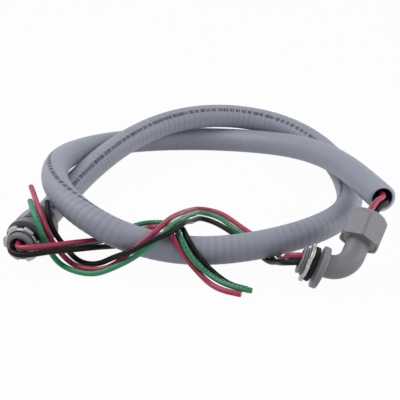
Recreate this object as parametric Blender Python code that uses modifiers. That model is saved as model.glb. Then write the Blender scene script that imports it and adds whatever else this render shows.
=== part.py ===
"""Flexible liquid-tight conduit whip, half-inch trade size, with three loose wires.

A ribbed plastic conduit lies in a loose coil. One end is clamped in a straight box connector. The
other end is open, and its wires pass into a loose elbow connector. Units are metres, +Z is up, and
the part lies on the plane z = 0 with its origin under the middle of the conduit and connectors.
"""

import math

import bmesh
import bpy
import numpy as np
from mathutils import Matrix, Vector

MM = 0.001
GAP = 0.3 * MM

# Conduit
CONDUIT_RADIUS = 10.65 * MM
CONDUIT_BORE_RADIUS = 7.9 * MM
RIB_COUNT = 150
RIB_DEPTH = 0.35 * MM
BORE_POINTS = 64
BORE_OVERRUN = 0.2
SAME_PASS_LENGTH = 0.1

# The coil, seen from above, turns clockwise about its centre. Each station is the turn in degrees
# from -X, the radius of the centreline and its height above the floor, both in millimetres.
COIL_CENTRE = (2.0, 15.0)
COIL_STATIONS = (
    (5, 101.5, 19.0),
    (30, 94.8, 23.2),
    (55, 98.6, 28.3),
    (80, 108.9, 32.6),
    (105, 120.8, 32.0),
    (130, 128.6, 25.5),
    (155, 127.7, 15.8),
    (180, 123.5, 10.2),
    (205, 122.9, 14.0),
    (230, 120.0, 17.2),
    (255, 112.6, 14.0),
    (280, 115.1, 15.4),
    (305, 126.6, 28.5),
    (330, 127.0, 39.2),
    (355, 119.6, 37.4),
    (380, 117.7, 27.6),
    (405, 117.4, 18.2),
    (430, 115.8, 11.8),
    (455, 113.1, 10.4),
    (480, 108.9, 15.1),
    (505, 106.0, 23.4),
    (530, 110.0, 31.2),
    (556, 129.6, 37.6),
    (571.5, 157.9, 41.5),
)

# Wires: 10 AWG, solid colour insulation
WIRE_RADIUS = 2.085 * MM
LANE_POINTS = 46
NEAR_TAIL_POINTS = 26
FAR_TAIL_POINTS = 32
LANE_RADIUS = 2.9 * MM
NOSE_CLEARANCE = 1.5 * MM
LANE_ANGLES = {"black_wire": 210.0, "red_wire": 90.0, "green_wire": 330.0}

# Connectors, along the nose from the face of the flange
NOSE_RADIUS = 10.4 * MM
NOSE_LENGTH = 13.0 * MM
NOSE_CHAMFER = 0.8 * MM
PASSAGE_RADIUS = 7.2 * MM
FLANGE_RADIUS = 15.6 * MM
FLANGE_THICKNESS = 4.5 * MM
FLANGE_EDGE = 0.8 * MM
GASKET_START = 2.2 * MM
GASKET_THICKNESS = 3.6 * MM
GASKET_RADIUS = 12.8 * MM
GASKET_EDGE = 0.7 * MM
LOCKNUT_THICKNESS = 2.6 * MM
LOCKNUT_RADIUS = 12.6 * MM
LOCKNUT_LUG = 1.9 * MM
LOCKNUT_LUG_COUNT = 6
LUG_ROOT_SHARE = 0.30
LUG_TIP_SHARE = 0.26
LOOSE_BORE_RADIUS = NOSE_RADIUS + 0.4 * MM

# Connectors, along the gland from the front of the gland nut
WRENCH_FLATS = 28.0 * MM
NUT_HEX_LENGTH = 17.4 * MM
NUT_LENGTH = 22.5 * MM
NUT_REAR_RADIUS = 12.2 * MM
NUT_SHOULDER_DROP = 1.2 * MM
NUT_SHOULDER_RUN = 1.8 * MM
NUT_CHAMFER = 0.8 * MM
NUT_THREAD_RADIUS = 12.7 * MM
NUT_THREAD_LENGTH = 16.6 * MM
NUT_MOUTH_RADIUS = 11.2 * MM
NUT_CONE_LENGTH = 1.6 * MM
BOSS_RADIUS = 12.4 * MM
BOSS_END = 10.5 * MM
SOCKET_RADIUS = 11.0 * MM
SOCKET_FLOOR = 2.8 * MM
FERRULE_RADIUS = 7.0 * MM
FERRULE_BORE_RADIUS = 5.7 * MM
FERRULE_COLLAR_RADIUS = 10.4 * MM
FERRULE_COLLAR = 1.5 * MM
FERRULE_LENGTH = 15.0 * MM
FERRULE_TAPER = 3.0 * MM
FERRULE_LIP = 0.5 * MM
RING_LENGTH = 5.2 * MM
RING_RADIUS = 12.2 * MM
RING_REAR_RADIUS = 11.7 * MM
RING_TAPER = 2.0 * MM
CONDUIT_END = SOCKET_FLOOR + FERRULE_COLLAR + 2 * GAP

# Straight connector: it lies level, with its nose towards the front left
STRAIGHT_FACE = Vector((-129.4, -85.9, 16.9)) * MM
STRAIGHT_HEADING = math.radians(76.2)
STRAIGHT_HEX_LENGTH = 4.0 * MM
STRAIGHT_LEAD = 42.0 * MM
STRAIGHT_NUT_TURN = math.radians(24.0)

# Elbow connector: it stands on the edge of its flange, with the gland leaning back to the conduit
ELBOW_FACE = Vector((82.7, -125.4, 16.4)) * MM
ELBOW_NOSE = Vector((-0.917, 0.190, 0.350))
ELBOW_GLAND = Vector((0.421, 0.693, 0.585))
ELBOW_TUBE_RADIUS = 8.6 * MM
ELBOW_PASSAGE_RADIUS = 6.4 * MM
ELBOW_TUBE_OFFSET = 3.0 * MM
ELBOW_BEND_RADIUS = 16.6 * MM
ELBOW_GLAND_RUN = 10.5 * MM
ELBOW_BOSS_START = 1.5 * MM
ELBOW_NUT_TURN = math.radians(-9.2)
ELBOW_ARC_STEPS = 8

# Where the wires hang between the open conduit and the elbow's gland
WIRE_BRIDGE = (131.5, -79.5, 43.6)

# Free tails, in millimetres from the nose outwards. Each list was chosen by hand from the layout.
STRAIGHT_TAILS = {
    "black_wire": (
        (-137.6, -101.2, 17.6), (-137.2, -106.6, 18.2), (-132.6, -110.4, 17.6), (-125.6, -111.2, 17.4),
        (-112.0, -108.0, 17.8), (-92.0, -98.8, 15.2), (-73.0, -88.0, 11.5), (-58.0, -67.0, 2.9),
        (-45.0, -46.0, 2.6), (-33.0, -38.0, 2.6), (-22.0, -46.0, 4.5), (-15.5, -70.0, 17.0),
        (-11.8, -95.0, 28.7), (-8.4, -105.0, 26.6), (-5.0, -109.0, 22.2), (0.0, -111.2, 15.3),
        (5.1, -110.6, 8.0), (10.4, -112.4, 3.2), (15.6, -119.2, 2.4), (21.6, -126.7, 2.3),
        (28.4, -131.0, 2.3), (33.5, -133.3, 2.3),
    ),
    "red_wire": (
        (-131.5, -105.4, 20.2), (-127.0, -107.4, 21.2), (-112.0, -103.8, 20.6), (-92.0, -93.5, 18.2),
        (-76.0, -83.0, 14.8), (-60.0, -66.0, 10.4), (-46.0, -52.0, 7.0), (-36.0, -46.5, 6.5),
        (-29.5, -54.0, 10.5), (-26.0, -72.0, 19.6), (-22.0, -97.0, 30.0), (-18.3, -106.6, 27.0),
        (-14.4, -110.2, 21.6), (-9.4, -111.5, 14.2), (-3.6, -111.0, 6.0), (2.2, -117.2, 2.5),
        (8.5, -127.5, 2.3), (14.1, -133.2, 2.3), (21.0, -137.2, 2.3), (28.6, -140.2, 2.3),
    ),
    "green_wire": (
        (-129.6, -105.4, 13.8), (-124.8, -105.8, 15.0), (-108.0, -100.6, 15.4), (-92.0, -90.5, 12.6),
        (-76.0, -76.5, 9.8), (-60.0, -57.0, 8.2), (-46.0, -42.5, 7.4), (-33.5, -40.5, 7.6),
        (-25.0, -49.0, 11.0), (-20.5, -70.0, 20.0), (-16.8, -97.0, 29.2), (-12.4, -108.3, 26.9),
        (-9.3, -112.8, 21.8), (-5.0, -114.2, 15.7), (0.7, -114.0, 8.7), (7.2, -118.3, 5.2),
        (14.2, -126.5, 4.7), (21.1, -132.2, 4.7), (28.0, -136.2, 4.7), (36.3, -139.0, 4.6),
    ),
}
ELBOW_TAILS = {
    "black_wire": (
        (62.3, -123.2, 17.6), (57.3, -111.5, 12.2), (52.6, -101.0, 5.6), (49.3, -91.5, 2.2),
        (45.5, -84.0, 2.2), (28.0, -53.5, 2.6), (14.7, -34.1, 2.6), (3.4, -25.2, 3.2),
        (-2.4, -36.5, 8.6), (-6.8, -58.8, 17.9), (-10.1, -83.5, 30.3), (-14.8, -99.5, 34.9),
        (-20.7, -107.0, 33.8), (-25.0, -110.2, 33.2), (-29.3, -111.7, 31.9), (-33.6, -113.0, 30.6),
        (-38.0, -114.0, 28.8), (-46.0, -115.4, 24.4), (-54.5, -114.0, 19.8), (-63.0, -109.0, 14.2),
        (-77.0, -101.5, 4.0), (-86.0, -97.0, 2.7), (-89.6, -95.2, 2.7), (-96.6, -88.1, 6.0),
        (-104.9, -81.3, 13.0), (-109.9, -80.7, 22.5), (-112.7, -77.7, 31.5), (-114.9, -66.1, 34.2),
        (-116.5, -59.0, 34.5),
    ),
    "red_wire": (
        (63.2, -120.8, 22.2), (63.4, -111.5, 17.6), (61.9, -102.5, 10.0), (60.3, -92.5, 3.1),
        (58.5, -83.0, 2.3), (38.7, -48.2, 2.6), (26.3, -28.0, 2.6), (15.1, -13.0, 2.6),
        (2.5, -7.3, 3.0), (-5.7, -19.5, 8.5), (-11.6, -40.1, 17.0), (-16.8, -62.1, 25.5),
        (-21.6, -80.5, 31.8), (-25.5, -92.5, 34.0), (-29.5, -100.5, 33.4), (-33.8, -104.4, 31.4),
        (-38.1, -107.5, 28.8), (-42.6, -109.5, 26.0), (-46.5, -110.4, 22.8), (-54.5, -108.3, 14.5),
        (-63.0, -107.2, 6.4), (-77.0, -107.4, 2.7), (-87.0, -104.0, 2.7), (-94.7, -98.2, 2.7),
        (-103.1, -91.7, 8.0), (-109.7, -86.6, 15.0), (-112.8, -89.1, 25.0), (-116.7, -83.6, 34.5),
        (-124.2, -62.1, 37.0), (-129.4, -44.6, 37.0), (-132.1, -36.6, 37.0),
    ),
    "green_wire": (
        (64.8, -117.9, 16.4), (60.8, -108.2, 9.4), (57.8, -101.3, 5.2), (54.7, -92.5, 2.4),
        (51.9, -82.0, 2.5), (33.2, -50.0, 2.6), (25.9, -40.4, 2.6), (15.0, -21.5, 2.6),
        (2.5, -14.8, 3.4), (-3.2, -27.1, 9.0), (-7.8, -44.2, 16.0), (-12.9, -69.0, 25.6),
        (-17.0, -88.0, 32.4), (-21.6, -100.8, 34.8), (-25.2, -104.0, 31.4), (-29.6, -106.0, 28.4),
        (-34.0, -109.3, 25.8), (-38.3, -110.8, 22.8), (-46.4, -113.1, 17.2), (-54.6, -113.2, 12.0),
        (-63.0, -112.6, 7.6), (-76.0, -113.5, 2.8), (-88.0, -110.3, 2.7), (-103.7, -100.0, 4.2),
        (-109.6, -94.4, 8.6), (-113.8, -93.0, 18.0), (-115.8, -94.4, 27.0), (-120.3, -87.8, 36.6),
        (-125.8, -72.5, 37.6), (-128.3, -63.7, 37.8),
    ),
}

COLOURS = {
    "conduit_grey": (0.36, 0.37, 0.40, 1.0),
    "connector_grey": (0.27, 0.27, 0.28, 1.0),
    "ferrule_grey": (0.45, 0.45, 0.46, 1.0),
    "zinc_steel": (0.62, 0.62, 0.60, 1.0),
    "rubber_black": (0.015, 0.015, 0.016, 1.0),
    "insulation_black": (0.012, 0.012, 0.013, 1.0),
    "insulation_red": (0.42, 0.03, 0.08, 1.0),
    "insulation_green": (0.03, 0.24, 0.12, 1.0),
}
FINISHES = {
    "conduit_grey": (0.5, 0.0),
    "connector_grey": (0.5, 0.0),
    "ferrule_grey": (0.5, 0.0),
    "zinc_steel": (0.35, 1.0),
    "rubber_black": (0.7, 0.0),
    "insulation_black": (0.35, 0.0),
    "insulation_red": (0.35, 0.0),
    "insulation_green": (0.35, 0.0),
}
ROUND_STEPS = 24


def clear_scene():
    for old in list(bpy.data.objects):
        bpy.data.objects.remove(old, do_unlink=True)


def new_collection(name):
    collection = bpy.data.collections.new(name)
    bpy.context.scene.collection.children.link(collection)
    return collection


def finish_material(name):
    """A Principled material from the colour and finish tables, made once."""
    material = bpy.data.materials.get(name)
    if material is None:
        material = bpy.data.materials.new(name)
        material.use_nodes = True
        shader = material.node_tree.nodes["Principled BSDF"]
        roughness, metallic = FINISHES[name]
        shader.inputs["Base Color"].default_value = COLOURS[name]
        shader.inputs["Roughness"].default_value = roughness
        shader.inputs["Metallic"].default_value = metallic
    return material


def axis_matrix(origin, direction):
    """A placement whose +Z runs along the direction from the origin, with +X kept level."""
    z = Vector(direction).normalized()
    x = Vector((0.0, 0.0, 1.0)).cross(z).normalized()
    y = z.cross(x)
    turn = Matrix((x, y, z)).transposed().to_4x4()
    return Matrix.Translation(origin) @ turn


def smooth_points(points, start=None, end=None, per_span=16):
    """Dense points on a cubic through the points, with chord length as its parameter.

    The second derivatives solve the usual three-term system. A given unit direction clamps that
    end, and an end with none is left free.
    """
    knots = np.asarray(points, float)
    span = np.linalg.norm(np.diff(knots, axis=0), axis=1)
    place = np.concatenate([[0.0], np.cumsum(span)])
    slope = np.diff(knots, axis=0) / span[:, None]
    count = len(knots)
    system = np.zeros((count, count))
    right = np.zeros((count, 3))
    system[0, 0] = system[-1, -1] = 1.0
    if start is not None:
        system[0, :2] = (2.0 * span[0], span[0])
        right[0] = 6.0 * (slope[0] - np.asarray(start))
    if end is not None:
        system[-1, -2:] = (span[-1], 2.0 * span[-1])
        right[-1] = 6.0 * (np.asarray(end) - slope[-1])
    for i in range(1, count - 1):
        system[i, i - 1:i + 2] = (span[i - 1], 2.0 * (span[i - 1] + span[i]), span[i])
        right[i] = 6.0 * (slope[i] - slope[i - 1])
    bend = np.linalg.solve(system, right)
    t = np.linspace(0.0, 1.0, per_span, endpoint=False)[:, None]
    parts = []
    for i in range(count - 1):
        a, b, h = knots[i], knots[i + 1], span[i]
        lift = ((1 - t) ** 3 - (1 - t)) * bend[i] + (t ** 3 - t) * bend[i + 1]
        parts.append((1 - t) * a + t * b + lift * h * h / 6.0)
    parts.append(knots[-1:])
    return np.concatenate(parts)


def along(points):
    """Length from the first point to each point."""
    return np.concatenate([[0.0], np.cumsum(np.linalg.norm(np.diff(points, axis=0), axis=1))])


def at_measure(points, measure, count):
    """Points at even steps of a rising measure along a dense line."""
    wanted = np.linspace(measure[0], measure[-1], count)
    return np.stack([np.interp(wanted, measure, points[:, i]) for i in range(3)], axis=1)


def bend_measure(points, long_step=34.0 * MM, turn_step=math.radians(24)):
    """A measure that grows with length and with turning, so points crowd where a wire bends."""
    step = np.diff(points, axis=0)
    length = np.linalg.norm(step, axis=1)
    heading = step / length[:, None]
    cosine = np.clip((heading[1:] * heading[:-1]).sum(axis=1), -1.0, 1.0)
    turning = np.concatenate([[0.0], np.arccos(cosine)])
    return np.concatenate([[0.0], np.cumsum(length / long_step + turning / turn_step)])


def straight_axis():
    """The direction from the straight connector into the conduit."""
    return np.array([math.cos(STRAIGHT_HEADING), math.sin(STRAIGHT_HEADING), 0.0])


def straight_gland():
    """The front of the straight connector's gland nut."""
    offset = FLANGE_THICKNESS + STRAIGHT_HEX_LENGTH + GAP
    return np.array(STRAIGHT_FACE) + offset * straight_axis()


def elbow_axes():
    """Unit nose and gland directions of the elbow."""
    return np.array(ELBOW_NOSE.normalized()), np.array(ELBOW_GLAND.normalized())


def elbow_arc():
    """Points round the elbow's bend, from the back of the flange to the start of the gland."""
    nose, gland = elbow_axes()
    lean = gland - (gland @ nose) * nose
    lean /= np.linalg.norm(lean)
    start = np.array(ELBOW_FACE) - FLANGE_THICKNESS * nose + ELBOW_TUBE_OFFSET * lean
    angle = np.linspace(0.0, math.acos(-(gland @ nose)), ELBOW_ARC_STEPS + 1)[:, None]
    return start - ELBOW_BEND_RADIUS * (np.sin(angle) * nose - (1 - np.cos(angle)) * lean)


def elbow_gland():
    """The front of the elbow's gland nut."""
    return elbow_arc()[-1] + ELBOW_GLAND_RUN * elbow_axes()[1]


def coil_line():
    """Dense centreline of the conduit, from its end in the straight connector to its open mouth."""
    axis = straight_axis()
    first = straight_gland() + CONDUIT_END * axis
    lead = first + STRAIGHT_LEAD * axis
    turn, radius, height = np.array(COIL_STATIONS).T
    angle = np.radians(turn)
    x = COIL_CENTRE[0] - radius * np.cos(angle)
    y = COIL_CENTRE[1] + radius * np.sin(angle)
    stations = np.stack([x, y, height], axis=1) * MM
    curve = smooth_points(np.vstack([lead, stations]), start=axis)
    run = np.linspace(first, lead, 24, endpoint=False)
    return np.vstack([run, curve])


def elbow_line(first, gland_end):
    """Points along the elbow from a first point, round the bend and up the gland."""
    gland = elbow_axes()[1]
    return np.vstack([first, elbow_arc(), elbow_gland() + gland_end * gland])


def bundle_line():
    """Dense middle line of the three wires from the straight nose to the elbow nose."""
    axis = straight_axis()
    nose, gland = elbow_axes()
    entry = np.array(STRAIGHT_FACE) - (NOSE_LENGTH + NOSE_CLEARANCE) * axis
    conduit = coil_line()
    ferrule_end = elbow_gland() + (SOCKET_FLOOR + FERRULE_LENGTH + MM) * gland
    exit_point = np.array(ELBOW_FACE) + (NOSE_LENGTH + NOSE_CLEARANCE) * nose
    bend = elbow_line(exit_point, SOCKET_FLOOR)[::-1]
    mouth = conduit[-1] - conduit[-2]
    bridge = smooth_points(
        np.vstack([conduit[-1], np.array(WIRE_BRIDGE) * MM, ferrule_end]),
        start=mouth / np.linalg.norm(mouth), end=-gland,
    )
    run = np.linspace(entry, conduit[0], 24, endpoint=False)
    return np.vstack([run, conduit[:-1], bridge, bend])


def beside(line, angle, radius):
    """The line moved sideways by a radius, at an angle about it measured from its level side."""
    heading = np.gradient(line, axis=0)
    heading /= np.linalg.norm(heading, axis=1)[:, None]
    level = np.cross(heading, [0.0, 0.0, 1.0])
    level /= np.linalg.norm(level, axis=1)[:, None]
    rise = np.cross(level, heading)
    return line + radius * (math.cos(angle) * level + math.sin(angle) * rise)


def wire_points(name):
    """One wire's line, from its tip past the straight nose to its tip past the elbow's nose.

    Inside the conduit the three wires share the same stations, so they keep the same distance.
    """
    middle = bundle_line()
    even = at_measure(middle, bend_measure(middle), LANE_POINTS)
    lane = beside(even, math.radians(LANE_ANGLES[name]), LANE_RADIUS)
    near = np.array(STRAIGHT_TAILS[name])[::-1] * MM
    far = np.array(ELBOW_TAILS[name]) * MM
    steps = 8
    dense = smooth_points(np.vstack([near, lane, far]), per_span=steps)
    first = dense[:len(near) * steps + 1]
    last = dense[-(len(far) * steps + 1):]
    first = at_measure(first, bend_measure(first), NEAR_TAIL_POINTS)
    last = at_measure(last, bend_measure(last), FAR_TAIL_POINTS)
    return np.vstack([first, lane[1:-1], last])


def curve_object(name, points, radius, sides_level, scales=None):
    """A tube along the points: a poly curve with a round bevel and filled caps."""
    data = bpy.data.curves.new(name, "CURVE")
    data.dimensions = "3D"
    data.bevel_depth = radius
    data.bevel_resolution = sides_level
    data.use_fill_caps = True
    spline = data.splines.new("POLY")
    spline.points.add(len(points) - 1)
    flat = np.concatenate([np.asarray(points), np.ones((len(points), 1))], axis=1)
    spline.points.foreach_set("co", flat.ravel())
    if scales is not None:
        spline.points.foreach_set("radius", np.asarray(scales, float))
    return bpy.data.objects.new(name, data)


def as_mesh(curve, collection):
    """The tube as a mesh object with its caps welded on; the curve is removed."""
    name = curve.name
    collection.objects.link(curve)
    bpy.context.view_layer.update()
    evaluated = curve.evaluated_get(bpy.context.evaluated_depsgraph_get())
    mesh = bpy.data.meshes.new_from_object(evaluated)
    place = curve.matrix_world.copy()
    bpy.data.objects.remove(curve, do_unlink=True)
    work = bmesh.new()
    work.from_mesh(mesh)
    bmesh.ops.remove_doubles(work, verts=work.verts, dist=0.00001)
    bmesh.ops.recalc_face_normals(work, faces=work.faces)
    work.to_mesh(mesh)
    work.free()
    solid = bpy.data.objects.new(name, mesh)
    solid.matrix_world = place
    collection.objects.link(solid)
    return solid


def turned(name, profile, place, collection, steps=ROUND_STEPS):
    """A turned solid: a closed profile of (radius, height) carried once round +Z.

    The profile runs down its outer side, so that the faces point out.
    """
    mesh = bpy.data.meshes.new(name)
    corners = [(radius, 0.0, height) for radius, height in profile]
    edges = [(i, (i + 1) % len(corners)) for i in range(len(corners))]
    mesh.from_pydata(corners, edges, [])
    solid = bpy.data.objects.new(name, mesh)
    collection.objects.link(solid)
    solid.matrix_world = place
    screw = solid.modifiers.new("turn", "SCREW")
    screw.axis = "Z"
    screw.steps = steps
    screw.render_steps = steps
    screw.use_merge_vertices = True
    screw.merge_threshold = 0.00001
    return solid


def hex_prism(name, flats, bottom, top, place, collection):
    """A hexagonal prism along +Z, with corners at its level sides and flats above and below."""
    mesh = bpy.data.meshes.new(name)
    work = bmesh.new()
    corner = flats / math.sqrt(3.0)
    middle = Matrix.Translation((0.0, 0.0, (bottom + top) / 2)) @ Matrix.Rotation(math.pi / 6, 4, "Z")
    bmesh.ops.create_cone(
        work, cap_ends=True, segments=6, radius1=corner, radius2=corner, depth=top - bottom, matrix=middle
    )
    work.to_mesh(mesh)
    work.free()
    solid = bpy.data.objects.new(name, mesh)
    collection.objects.link(solid)
    solid.matrix_world = place
    return solid


def combine(solid, operation, other):
    """Add a Boolean to a solid, and hide the other piece as its cutter."""
    cut = solid.modifiers.new(other.name, "BOOLEAN")
    cut.operation = operation
    cut.solver = "EXACT"
    cut.object = other
    other.hide_render = True
    other.display_type = "WIRE"


def ring_profile(inner, outer, bottom, top, edge=0.0):
    """Closed section of a plain ring, its outer corners cut back by edge."""
    if edge == 0.0:
        return [(outer, top), (outer, bottom), (inner, bottom), (inner, top)]
    return [
        (outer - edge, top), (outer, top - edge), (outer, bottom + edge), (outer - edge, bottom),
        (inner, bottom), (inner, top),
    ]


def dress(solid, finish):
    """Give a finished piece its material and smooth shading."""
    solid.data.materials.append(finish_material(finish))
    if solid.type == "MESH":
        solid.data.shade_smooth()


def make_conduit(parts, cutters):
    """The ribbed hose, its bore, and the flat that it lies on."""
    line = coil_line()
    count = 2 * RIB_COUNT + 1
    rings = at_measure(line, along(line), count)
    valley = 1.0 - RIB_DEPTH / CONDUIT_RADIUS
    scales = np.where(np.arange(count) % 2 == 0, 1.0, valley)
    conduit = as_mesh(curve_object("conduit", rings, CONDUIT_RADIUS, 2, scales), parts)
    middle = at_measure(line, along(line), BORE_POINTS)
    head = middle[0] + BORE_OVERRUN * (middle[0] - middle[1])
    tail = middle[-1] + BORE_OVERRUN * (middle[-1] - middle[-2])
    bore_line = np.vstack([head, middle[1:-1], tail])
    bore = as_mesh(curve_object("conduit_bore", bore_line, CONDUIT_BORE_RADIUS, 2), cutters)
    combine(conduit, "DIFFERENCE", bore)
    floor_mesh = bpy.data.meshes.new("floor_cut")
    work = bmesh.new()
    bmesh.ops.create_cube(work, size=0.4, matrix=Matrix.Translation((0.0, 0.0, -0.2)))
    work.to_mesh(floor_mesh)
    work.free()
    floor = bpy.data.objects.new("floor_cut", floor_mesh)
    cutters.objects.link(floor)
    combine(conduit, "DIFFERENCE", floor)
    dress(conduit, "conduit_grey")
    report_least_gap(rings)


def report_least_gap(rings):
    """Print the least gap between passes of the coil, measured on its centreline."""
    place = along(rings)
    apart = np.linalg.norm(rings[:, None, :] - rings[None, :, :], axis=2)
    apart[np.abs(place[:, None] - place[None, :]) < SAME_PASS_LENGTH] = 1.0
    gap = apart.min() - 2 * CONDUIT_RADIUS
    print(f"conduit length {place[-1]:.3f} m, least gap to itself {gap / MM:.2f} mm")


def make_nose_parts(prefix, face, direction, parts):
    """The sealing gasket and the toothed locknut that sit loose on a connector's nose."""
    place = axis_matrix(face, direction)
    gasket_top = GASKET_START + GASKET_THICKNESS
    profile = ring_profile(LOOSE_BORE_RADIUS, GASKET_RADIUS, GASKET_START, gasket_top, GASKET_EDGE)
    gasket = turned(f"{prefix}_gasket", profile, place, parts)
    dress(gasket, "rubber_black")
    bottom = gasket_top + GAP
    middle = Matrix.Translation((0.0, 0.0, bottom + LOCKNUT_THICKNESS / 2))
    locknut = locknut_plate(f"{prefix}_locknut", place @ middle, parts)
    dress(locknut, "zinc_steel")


def locknut_plate(name, place, parts):
    """A steel ring with square lugs round its edge, as a flat outline given a thickness."""
    data = bpy.data.curves.new(name, "CURVE")
    data.dimensions = "2D"
    data.fill_mode = "BOTH"
    data.extrude = LOCKNUT_THICKNESS / 2
    data.resolution_u = 1
    step = 2 * math.pi / LOCKNUT_LUG_COUNT
    tip = LOCKNUT_RADIUS + LOCKNUT_LUG
    outer = []
    for lug in range(LOCKNUT_LUG_COUNT):
        for share, radius in (
            (-LUG_ROOT_SHARE, LOCKNUT_RADIUS), (-LUG_TIP_SHARE, tip), (0.0, tip), (LUG_TIP_SHARE, tip),
            (LUG_ROOT_SHARE, LOCKNUT_RADIUS),
        ):
            angle = (lug + share) * step
            outer.append((radius * math.cos(angle), radius * math.sin(angle)))
    inner = []
    for i in range(ROUND_STEPS):
        angle = 2 * math.pi * i / ROUND_STEPS
        inner.append((LOOSE_BORE_RADIUS * math.cos(angle), LOOSE_BORE_RADIUS * math.sin(angle)))
    for outline in (outer, inner):
        spline = data.splines.new("POLY")
        spline.points.add(len(outline) - 1)
        for point, (x, y) in zip(spline.points, outline):
            point.co = (x, y, 0.0, 1.0)
        spline.use_cyclic_u = True
    flat = bpy.data.objects.new(name, data)
    flat.matrix_world = place
    return as_mesh(flat, parts)


def make_gland_parts(prefix, origin, direction, nut_turn, parts, cutters):
    """The domed gland nut, the wedge ring that it presses and the ferrule in the conduit's bore."""
    place = axis_matrix(origin, direction)
    nut_place = place @ Matrix.Rotation(nut_turn, 4, "Z")
    nut = hex_prism(f"{prefix}_gland_nut", WRENCH_FLATS, 0.0, NUT_LENGTH, nut_place, parts)
    corner = WRENCH_FLATS / math.sqrt(3.0)
    dome = turned(
        f"{prefix}_nut_dome",
        [
            (0.0, NUT_LENGTH), (NUT_REAR_RADIUS, NUT_LENGTH),
            (corner - NUT_SHOULDER_DROP, NUT_HEX_LENGTH + NUT_SHOULDER_RUN), (corner, NUT_HEX_LENGTH),
            (corner, NUT_CHAMFER), (corner - NUT_CHAMFER, 0.0), (0.0, 0.0),
        ],
        place, cutters,
    )
    combine(nut, "INTERSECT", dome)
    bore = turned(
        f"{prefix}_nut_bore",
        [
            (0.0, NUT_LENGTH + MM), (NUT_MOUTH_RADIUS, NUT_LENGTH + MM),
            (NUT_MOUTH_RADIUS, NUT_THREAD_LENGTH + NUT_CONE_LENGTH), (NUT_THREAD_RADIUS, NUT_THREAD_LENGTH),
            (NUT_THREAD_RADIUS, -MM), (0.0, -MM),
        ],
        place, cutters,
    )
    combine(nut, "DIFFERENCE", bore)
    dress(nut, "connector_grey")
    ring_start = BOSS_END + GAP
    ring_end = ring_start + RING_LENGTH
    ring = turned(
        f"{prefix}_sealing_ring",
        [
            (RING_REAR_RADIUS, ring_end), (RING_RADIUS, ring_end - RING_TAPER), (RING_RADIUS, ring_start),
            (SOCKET_RADIUS, ring_start), (SOCKET_RADIUS, ring_end),
        ],
        place, parts,
    )
    dress(ring, "ferrule_grey")
    collar = SOCKET_FLOOR + GAP
    sleeve = collar + FERRULE_COLLAR
    end = collar + FERRULE_LENGTH
    ferrule = turned(
        f"{prefix}_ferrule",
        [
            (FERRULE_BORE_RADIUS + FERRULE_LIP, end), (FERRULE_RADIUS, end - FERRULE_TAPER),
            (FERRULE_RADIUS, sleeve), (FERRULE_COLLAR_RADIUS, sleeve), (FERRULE_COLLAR_RADIUS, collar),
            (FERRULE_BORE_RADIUS, collar), (FERRULE_BORE_RADIUS, end),
        ],
        place, parts,
    )
    dress(ferrule, "ferrule_grey")


def nose_profile(flange_back):
    """Section of the solid nose and flange, heights along the nose from the flange's face."""
    return [
        (0.0, NOSE_LENGTH), (NOSE_RADIUS - NOSE_CHAMFER, NOSE_LENGTH),
        (NOSE_RADIUS, NOSE_LENGTH - NOSE_CHAMFER), (NOSE_RADIUS, 0.0), (FLANGE_RADIUS, 0.0),
        (FLANGE_RADIUS, flange_back + FLANGE_EDGE),
        (FLANGE_RADIUS - FLANGE_EDGE, flange_back), (0.0, flange_back),
    ]


def make_straight_body(parts, cutters):
    """Nose, flange, wrench hexagon and gland boss in one moulding, with a passage and a socket."""
    axis = straight_axis()
    nose_place = axis_matrix(STRAIGHT_FACE, -Vector(axis))
    gland_place = axis_matrix(Vector(straight_gland()), axis)
    body = turned("straight_body", nose_profile(-FLANGE_THICKNESS), nose_place, parts)
    hexagon = hex_prism(
        "straight_hexagon", WRENCH_FLATS, -GAP - STRAIGHT_HEX_LENGTH - MM, -GAP, gland_place, cutters
    )
    combine(body, "UNION", hexagon)
    boss = turned("straight_boss", boss_profile(-MM), gland_place, cutters)
    combine(body, "UNION", boss)
    socket = turned("straight_socket", socket_profile(), gland_place, cutters)
    combine(body, "DIFFERENCE", socket)
    reach = FLANGE_THICKNESS + STRAIGHT_HEX_LENGTH + SOCKET_FLOOR + MM
    passage = turned("straight_passage", passage_profile(-reach, NOSE_LENGTH + MM), nose_place, cutters)
    combine(body, "DIFFERENCE", passage)
    dress(body, "connector_grey")


def boss_profile(bottom):
    """Section of the solid boss that the gland nut screws on."""
    return [(0.0, BOSS_END), (BOSS_RADIUS, BOSS_END), (BOSS_RADIUS, bottom), (0.0, bottom)]


def socket_profile():
    """Section of the socket that takes the end of the conduit."""
    top = BOSS_END + MM
    return [(0.0, top), (SOCKET_RADIUS, top), (SOCKET_RADIUS, SOCKET_FLOOR), (0.0, SOCKET_FLOOR)]


def passage_profile(bottom, top):
    """Section of the round passage for the wires."""
    return [(0.0, top), (PASSAGE_RADIUS, top), (PASSAGE_RADIUS, bottom), (0.0, bottom)]


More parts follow.
